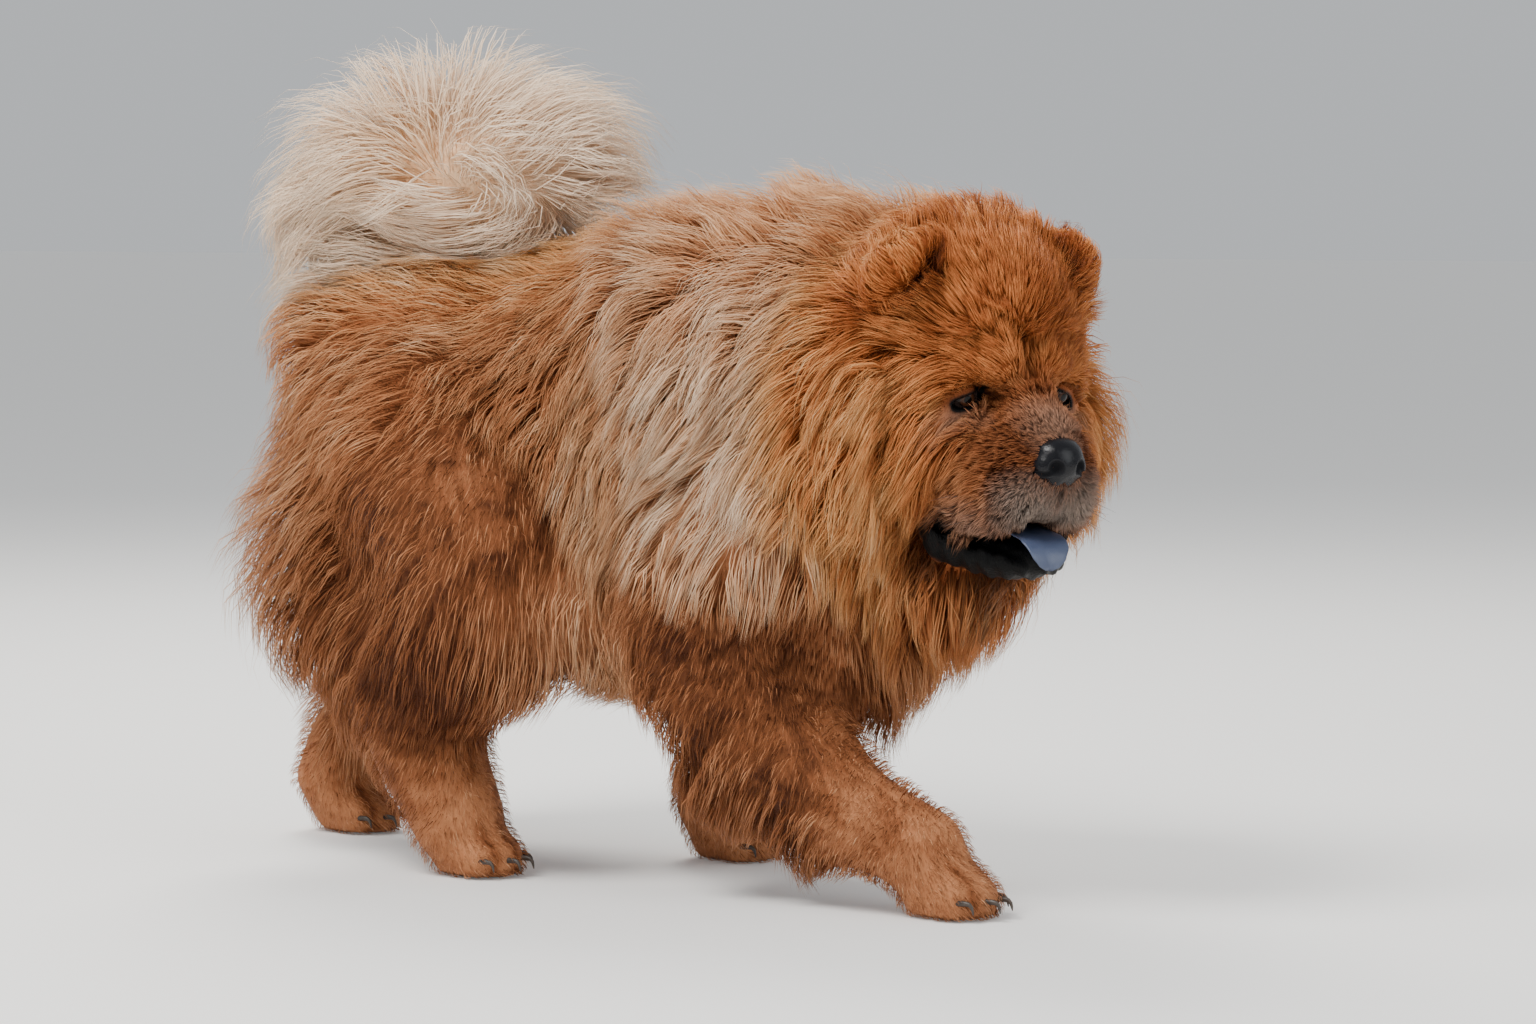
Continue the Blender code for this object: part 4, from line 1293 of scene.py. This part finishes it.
def eye_ball(side):
    """A ball of rings about the gaze, each of which knows how far round it lies."""
    gaze = HEAD_AXES @ (GAZE * (1, side, 1))
    across = unit(np.cross((0, 0, 1), gaze))
    over = np.cross(gaze, across)
    middle = from_head((EYE_SEAT.x, side * EYE_SEAT.y, EYE_SEAT.z))
    bend = np.pi * (np.arange(1, EYE_RINGS) / EYE_RINGS) ** 1.4
    spoke = np.arange(EYE_SPOKES) * 2 * np.pi / EYE_SPOKES
    reach = EYE_BALL + DOME * np.exp(-((bend / 0.55) ** 4))
    way = np.cos(bend)[:, None, None] * gaze + np.sin(bend)[:, None, None] * (
        np.cos(spoke)[None, :, None] * across + np.sin(spoke)[None, :, None] * over)
    points = middle + (reach[:, None, None] * way).reshape(-1, 3)
    front, back = middle + gaze * (EYE_BALL + DOME), middle - gaze * EYE_BALL
    points = np.concatenate([points, [front, back]])
    first, last = len(points) - 2, len(points) - 1
    faces = []
    for spot in range(EYE_SPOKES):
        beside = (spot + 1) % EYE_SPOKES
        faces.append((first, spot, beside))
        for ring in range(EYE_RINGS - 2):
            low, high = ring * EYE_SPOKES, (ring + 1) * EYE_SPOKES
            faces.append((low + spot, high + spot, high + beside, low + beside))
        end = (EYE_RINGS - 2) * EYE_SPOKES
        faces.append((end + spot, last, end + beside))
    return points, faces, np.concatenate([np.repeat(bend, EYE_SPOKES), [0.0, np.pi]])


def eye_material():
    material, tree, shader = new_material("wet dark eye")
    rings = (
        (0.000, (0.002, 0.002, 0.002)), (0.074, (0.002, 0.002, 0.002)),
        (0.084, (0.048, 0.018, 0.008)), (0.145, (0.034, 0.012, 0.006)),
        (IRIS_EDGE / math.pi, (0.008, 0.005, 0.004)), (0.215, (0.020, 0.013, 0.011)),
        (0.300, (0.034, 0.023, 0.020)),
    )
    tone = node(tree, "ShaderNodeValToRGB", {"stops": rings}, {"Fac": read_value(tree, "ring")})
    feed(tree, shader, {"Base Color": tone, "Roughness": 0.05, "Specular IOR Level": 0.17})
    return material


EYE_MATERIAL = eye_material()
for side, name in ((-1, "eye_right"), (1, "eye_left")):
    points, faces, bend = eye_ball(side)
    eye = closed_piece(name, points, faces)
    set_values(eye.data, ring=bend / math.pi)
    eye.data.materials.append(EYE_MATERIAL)
    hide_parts(name)
    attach(eye, "root")

# The tongue
# The blue-black tongue comes out over the lower lip on the dog's right and its tip bends down.
# It is one soft leaf with a groove along its middle and a fine grain of papillae.
TONGUE_PATH = np.array((
    (0.000, 0.000, -0.1020), (0.030, -0.001, -0.0990), (0.055, -0.003, -0.0975),
    (0.070, -0.006, -0.0965), (0.080, -0.009, -0.0975), (0.0880, -0.011, -0.1015),
    (0.0930, -0.012, -0.1075), (0.0950, -0.0125, -0.1140),
))
TONGUE_HALF = ((0, 0.012), (0.3, 0.0175), (0.6, 0.0195), (0.80, 0.0200), (0.92, 0.0150),
               (0.98, 0.0085), (1.0, 0.0030))
TONGUE_THICK = ((0, 0.0045), (0.6, 0.0036), (0.85, 0.0028), (1.0, 0.0012))
TONGUE_SECTIONS, TONGUE_AROUND = 40, 28


def along_line(line, count):
    """Points spread evenly along a smooth line through the given ones."""
    line = np.asarray(line, float)
    ends = np.concatenate([[2 * line[0] - line[1]], line, [2 * line[-1] - line[-2]]])
    found = []
    for number in range(1, len(ends) - 2):
        a, b, c, d = ends[number - 1:number + 3]
        for part in np.linspace(0, 1, 12, endpoint=False):
            found.append(0.5 * (2 * b + (c - a) * part + (2 * a - 5 * b + 4 * c - d) * part ** 2
                                + (3 * b - 3 * c + d - a) * part ** 3))
    found = np.array(found + [line[-1]])
    run = np.concatenate([[0], np.cumsum(np.linalg.norm(np.diff(found, axis=0), axis=1))])
    at = np.linspace(0, run[-1], count)
    return np.stack([np.interp(at, run, found[:, axis]) for axis in range(3)], axis=1)


def swept(line, section, side):
    """Rings along a line, each in the section given for its place, closed at both ends."""
    count = len(line)
    ahead = unit(np.gradient(line, axis=0))
    across = unit(np.asarray(side) - ahead * (ahead @ np.asarray(side))[:, None])
    over = np.cross(ahead, across)
    rings = []
    for number in range(count):
        wide, tall = section(number / (count - 1))
        rings.append(line[number] + wide[:, None] * across[number] + tall[:, None] * over[number])
    around = len(rings[0])
    points = np.concatenate(rings + [line[:1], line[-1:]])
    faces = []
    for spot in range(around):
        beside = (spot + 1) % around
        faces.append((count * around, beside, spot))
        for ring in range(count - 1):
            low, high = ring * around, (ring + 1) * around
            faces.append((low + spot, low + beside, high + beside, high + spot))
        end = (count - 1) * around
        faces.append((count * around + 1, end + spot, end + beside))
    return points, faces


def tongue_section(part):
    half = np.interp(part, *zip(*TONGUE_HALF))
    thick = np.interp(part, *zip(*TONGUE_THICK))
    angle = np.arange(TONGUE_AROUND) * 2 * np.pi / TONGUE_AROUND
    wide = half * np.cos(angle)
    share = np.cos(angle)
    # Its edges curl up a little and its middle sinks in a groove
    curl = 0.0035 * share ** 2 - 0.0012 * np.exp(-np.square(share / 0.16)) * (np.sin(angle) > 0)
    return wide, thick * np.sin(angle) + curl * (1 - 0.5 * part)


def tongue_material():
    material, tree, shader = new_material("moist slate-blue tongue")
    place = node(tree, "ShaderNodeTexCoord", output="Object")
    grain = node(tree, "ShaderNodeTexVoronoi", values={"Vector": place, "Scale": 1100.0},
                 output="Distance")
    cloud = noise(tree, 90.0, 3.0)
    raised = node(tree, "ShaderNodeBump", values={"Height": grain, "Distance": 0.0003,
                                                   "Strength": 0.5})
    tone = mixed(tree, cloud, (0.030, 0.042, 0.085, 1), (0.060, 0.078, 0.140, 1))
    feed(tree, shader, {"Base Color": tone, "Roughness": 0.30 + cloud * 0.25,
                        "Normal": raised, "Coat Weight": 0.25})
    shader.inputs["Coat Roughness"].default_value = 0.25
    return material


tongue_line = along_line(TONGUE_PATH, TONGUE_SECTIONS)
points, faces = swept(tongue_line, tongue_section, (0, 1, 0))
tongue = closed_piece("tongue", from_head(points), faces)
tongue.data.materials.append(tongue_material())
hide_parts("tongue")
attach(tongue, "root")

# The claws
# Four blunt dark claws on each paw, half hidden in the fur between the toes. Each is a curved
# horn that comes forward and down out of its toe.
CLAWS = [f"{leg}_claw_{number}" for leg in LEGS for number in (1, 2, 3, 4)]
CLAW_THICK = 0.0025
CLAW_AROUND = 10


def claw_section(part):
    angle = np.arange(CLAW_AROUND) * 2 * np.pi / CLAW_AROUND
    thick = CLAW_THICK * (1 - 0.82 * part ** 2.2)
    return 0.8 * thick * np.cos(angle), thick * np.sin(angle)


def claw_material():
    material, tree, shader = new_material("dark horn of the claws")
    streaks = noise(tree, 260.0, 3.0, 0.6)
    raised = node(tree, "ShaderNodeBump", values={"Height": streaks, "Distance": 0.0003})
    tone = mixed(tree, streaks, (0.020, 0.015, 0.012, 1), (0.075, 0.055, 0.042, 1))
    feed(tree, shader, {"Base Color": tone, "Roughness": 0.30 + streaks * 0.2, "Normal": raised})
    return material


claw_points, claw_faces = [], []
for name in CLAWS:
    low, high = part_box(name)
    middle = (low + high) / 2
    line = along_line([(low.x - 0.004, middle.y, high.z - 0.0035),
                       (middle.x - 0.001, middle.y, high.z - 0.0035),
                       (high.x - 0.0045, middle.y, middle.z - 0.001),
                       (high.x - 0.0030, middle.y, low.z - 0.002)], 8)
    points, faces = swept(line, claw_section, (0, 1, 0))
    start = sum(len(part) for part in claw_points)
    claw_points.append(points)
    claw_faces += [[start + corner for corner in face] for face in faces]
claws = closed_piece("claws", np.concatenate(claw_points), claw_faces)
claws.data.materials.append(claw_material())
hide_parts(*CLAWS)
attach(claws, "root")

# The whiskers
# Stiff dark whiskers stand out of the upper lips, finer at their ends, and bend back a little.
WHISKERS_IN_ROW = 4
WHISKER_THICK = 0.00035


def whisker_roots():
    """Where each whisker leaves the lip, and the way and length that it stands out."""
    chance = np.random.default_rng(5)
    roots, ways, lengths = [], [], []
    for side in (-1, 1):
        for start, end in WHISKER_ROWS:
            for part in (np.arange(WHISKERS_IN_ROW) + 0.5) / WHISKERS_IN_ROW:
                place = np.array(start) * (1 - part) + np.array(end) * part
                place = place + chance.normal(0, 0.001, 3)
                way = np.array((0.10 - 0.35 * part, 0.90, -0.25)) + chance.normal(0, 0.12, 3)
                roots.append(from_head(place * (1, side, 1)))
                ways.append(HEAD_AXES @ (unit(way) * (1, side, 1)))
                lengths.append(chance.uniform(0.020, 0.034))
    roots = pulled_to_skin(np.array(roots), 4, 0.0006)
    return roots, np.array(ways), np.array(lengths)


def whisker_tree(material):
    """Geometry Nodes: a fine cone on each root, turned its way, stretched and bent back."""
    tree = bpy.data.node_groups.new("whiskers on the lips", "GeometryNodeTree")
    face = tree.interface
    face.new_socket("Roots", in_out="INPUT", socket_type="NodeSocketGeometry")
    thick = face.new_socket("Thickness", in_out="INPUT", socket_type="NodeSocketFloat")
    bend = face.new_socket("Bend", in_out="INPUT", socket_type="NodeSocketFloat")
    face.new_socket("Whiskers", in_out="OUTPUT", socket_type="NodeSocketGeometry")
    made = {}

    def add(name, kind, **settings):
        made[name] = tree.nodes.new(kind)
        for key, value in settings.items():
            setattr(made[name], key, value)
        return made[name]

    def link(start, output, end, place):
        tree.links.new(made[start].outputs[output], made[end].inputs[place])

    add("in", "NodeGroupInput")
    add("out", "NodeGroupOutput")
    cone = add("cone", "GeometryNodeMeshCone")
    for key, value in (("Vertices", 5), ("Side Segments", 6), ("Radius Top", 0.00004),
                       ("Depth", 1.0)):
        cone.inputs[key].default_value = value
    add("points", "GeometryNodeMeshToPoints")
    add("place", "GeometryNodeInstanceOnPoints")
    add("way", "GeometryNodeInputNamedAttribute", data_type="FLOAT_VECTOR")
    made["way"].inputs["Name"].default_value = "way"
    add("length", "GeometryNodeInputNamedAttribute", data_type="FLOAT")
    made["length"].inputs["Name"].default_value = "length"
    add("turn", "FunctionNodeAlignRotationToVector", axis="Z")
    add("size", "ShaderNodeCombineXYZ")
    made["size"].inputs["X"].default_value = 1.0
    made["size"].inputs["Y"].default_value = 1.0
    add("height", "GeometryNodeInputPosition")
    add("part", "ShaderNodeSeparateXYZ")
    add("square", "ShaderNodeMath", operation="MULTIPLY")
    add("droop", "ShaderNodeMath", operation="MULTIPLY")
    add("offset", "ShaderNodeCombineXYZ")
    add("bent", "GeometryNodeSetPosition")
    add("real", "GeometryNodeRealizeInstances")
    add("paint", "GeometryNodeSetMaterial")
    made["paint"].inputs["Material"].default_value = material
    link("in", "Roots", "points", "Mesh")
    link("in", "Thickness", "cone", "Radius Bottom")
    link("height", "Position", "part", "Vector")
    link("part", "Z", "square", 0)
    link("part", "Z", "square", 1)
    link("square", "Value", "droop", 0)
    link("in", "Bend", "droop", 1)
    link("droop", "Value", "offset", "X")
    link("cone", "Mesh", "bent", "Geometry")
    link("offset", "Vector", "bent", "Offset")
    link("bent", "Geometry", "place", "Instance")
    link("points", "Points", "place", "Points")
    link("way", "Attribute", "turn", "Vector")
    link("turn", "Rotation", "place", "Rotation")
    link("length", "Attribute", "size", "Z")
    link("size", "Vector", "place", "Scale")
    link("place", "Instances", "real", "Geometry")
    link("real", "Geometry", "paint", "Geometry")
    link("paint", "Geometry", "out", "Whiskers")
    return tree, thick.identifier, bend.identifier


def whisker_material():
    material, tree, shader = new_material("stiff dark whisker")
    tone = mixed(tree, noise(tree, 200.0), (0.016, 0.012, 0.010, 1), (0.060, 0.040, 0.030, 1))
    feed(tree, shader, {"Base Color": tone, "Roughness": 0.35})
    return material


roots, ways, lengths = whisker_roots()
root_mesh = bpy.data.meshes.new("whisker roots")
root_mesh.from_pydata((roots - ways * 0.001).tolist(), [], [])
root_mesh.attributes.new("way", "FLOAT_VECTOR", "POINT").data.foreach_set("vector", ways.ravel())
set_values(root_mesh, length=lengths)
root_object = bpy.data.objects.new("whisker roots", root_mesh)
bpy.context.scene.collection.objects.link(root_object)
WHISKER_MATERIAL = whisker_material()
whisker_group, thick_input, bend_input = whisker_tree(WHISKER_MATERIAL)
grown = root_object.modifiers.new("whiskers", "NODES")
grown.node_group = whisker_group
grown[thick_input] = WHISKER_THICK
grown[bend_input] = 0.006
evaluated = root_object.evaluated_get(bpy.context.evaluated_depsgraph_get())
whisker_mesh = bpy.data.meshes.new_from_object(evaluated)
bpy.data.objects.remove(root_object)
whisker_mesh.name = "whiskers"
whiskers = bpy.data.objects.new("whiskers", whisker_mesh)
bpy.context.scene.collection.objects.link(whiskers)
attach(whiskers, "root")

# Floor, light and camera
# A plain pale floor and soft light, with the camera where the dog is seen from its right front.
CAMERA_PLACE = Vector((2.2646, -3.5587, 0.570))
CAMERA_RIGHT = Vector((0.848, 0.530, 0.0))
CAMERA_AHEAD = Vector((-0.530, 0.848, 0.0))
FOCAL_PIXELS = 5000  # at a picture 1536 wide
PICTURE_WIDE = 1536
PICTURE_MIDDLE = (768 - 708, 200 - 512)  # right of and above the level line of sight

aim = CAMERA_AHEAD + CAMERA_RIGHT * (PICTURE_MIDDLE[0] / FOCAL_PIXELS)
aim = aim + Vector((0, 0, PICTURE_MIDDLE[1] / FOCAL_PIXELS))
camera_data = bpy.data.cameras.new("camera")
camera_data.sensor_width = 36
camera_data.lens = 36 * FOCAL_PIXELS / PICTURE_WIDE
camera = bpy.data.objects.new("camera", camera_data)
camera.location = CAMERA_PLACE
camera.rotation_euler = aim.to_track_quat("-Z", "Y").to_euler()
bpy.context.scene.collection.objects.link(camera)
bpy.context.scene.camera = camera


def light(name, place, target, size, power, colour):
    data = bpy.data.lights.new(name, "AREA")
    data.shape = "DISK"
    data.size = size
    data.energy = power
    data.color = colour
    made = bpy.data.objects.new(name, data)
    made.location = place
    way = Vector(target) - Vector(place)
    made.rotation_euler = way.to_track_quat("-Z", "Y").to_euler()
    bpy.context.scene.collection.objects.link(made)
    return made


DOG_MIDDLE = (0.0, 0.0, 0.35)
light("window", (-0.6, -2.4, 3.6), DOG_MIDDLE, 2.0, 225, (1.0, 0.98, 0.95))
light("fill", (3.2, -0.6, 1.8), DOG_MIDDLE, 2.6, 45, (0.95, 0.98, 1.0))
light("back", (-1.6, 1.8, 3.0), DOG_MIDDLE, 1.8, 120, (1.0, 0.97, 0.92))

floor_mesh = bpy.data.meshes.new("floor")
REACH = 40
floor_mesh.from_pydata(
    [(-REACH, -REACH, 0), (REACH, -REACH, 0), (REACH, REACH, 0), (-REACH, REACH, 0)],
    [], [(0, 1, 2, 3)],
)
floor = bpy.data.objects.new("floor", floor_mesh)
bpy.context.scene.collection.objects.link(floor)
paint = bpy.data.materials.new("pale floor")
paint.use_nodes = True
paint.node_tree.nodes["Principled BSDF"].inputs["Base Color"].default_value = (0.80, 0.79, 0.77, 1)
paint.node_tree.nodes["Principled BSDF"].inputs["Roughness"].default_value = 0.8
paint.node_tree.nodes["Principled BSDF"].inputs["Emission Color"].default_value = (1, 1, 1, 1)
paint.node_tree.nodes["Principled BSDF"].inputs["Emission Strength"].default_value = 0.12
floor_mesh.materials.append(paint)

world = bpy.data.worlds.new("studio")
world.use_nodes = True
world.node_tree.nodes["Background"].inputs["Color"].default_value = (0.80, 0.83, 0.86, 1)
world.node_tree.nodes["Background"].inputs["Strength"].default_value = 0.70
bpy.context.scene.world = world
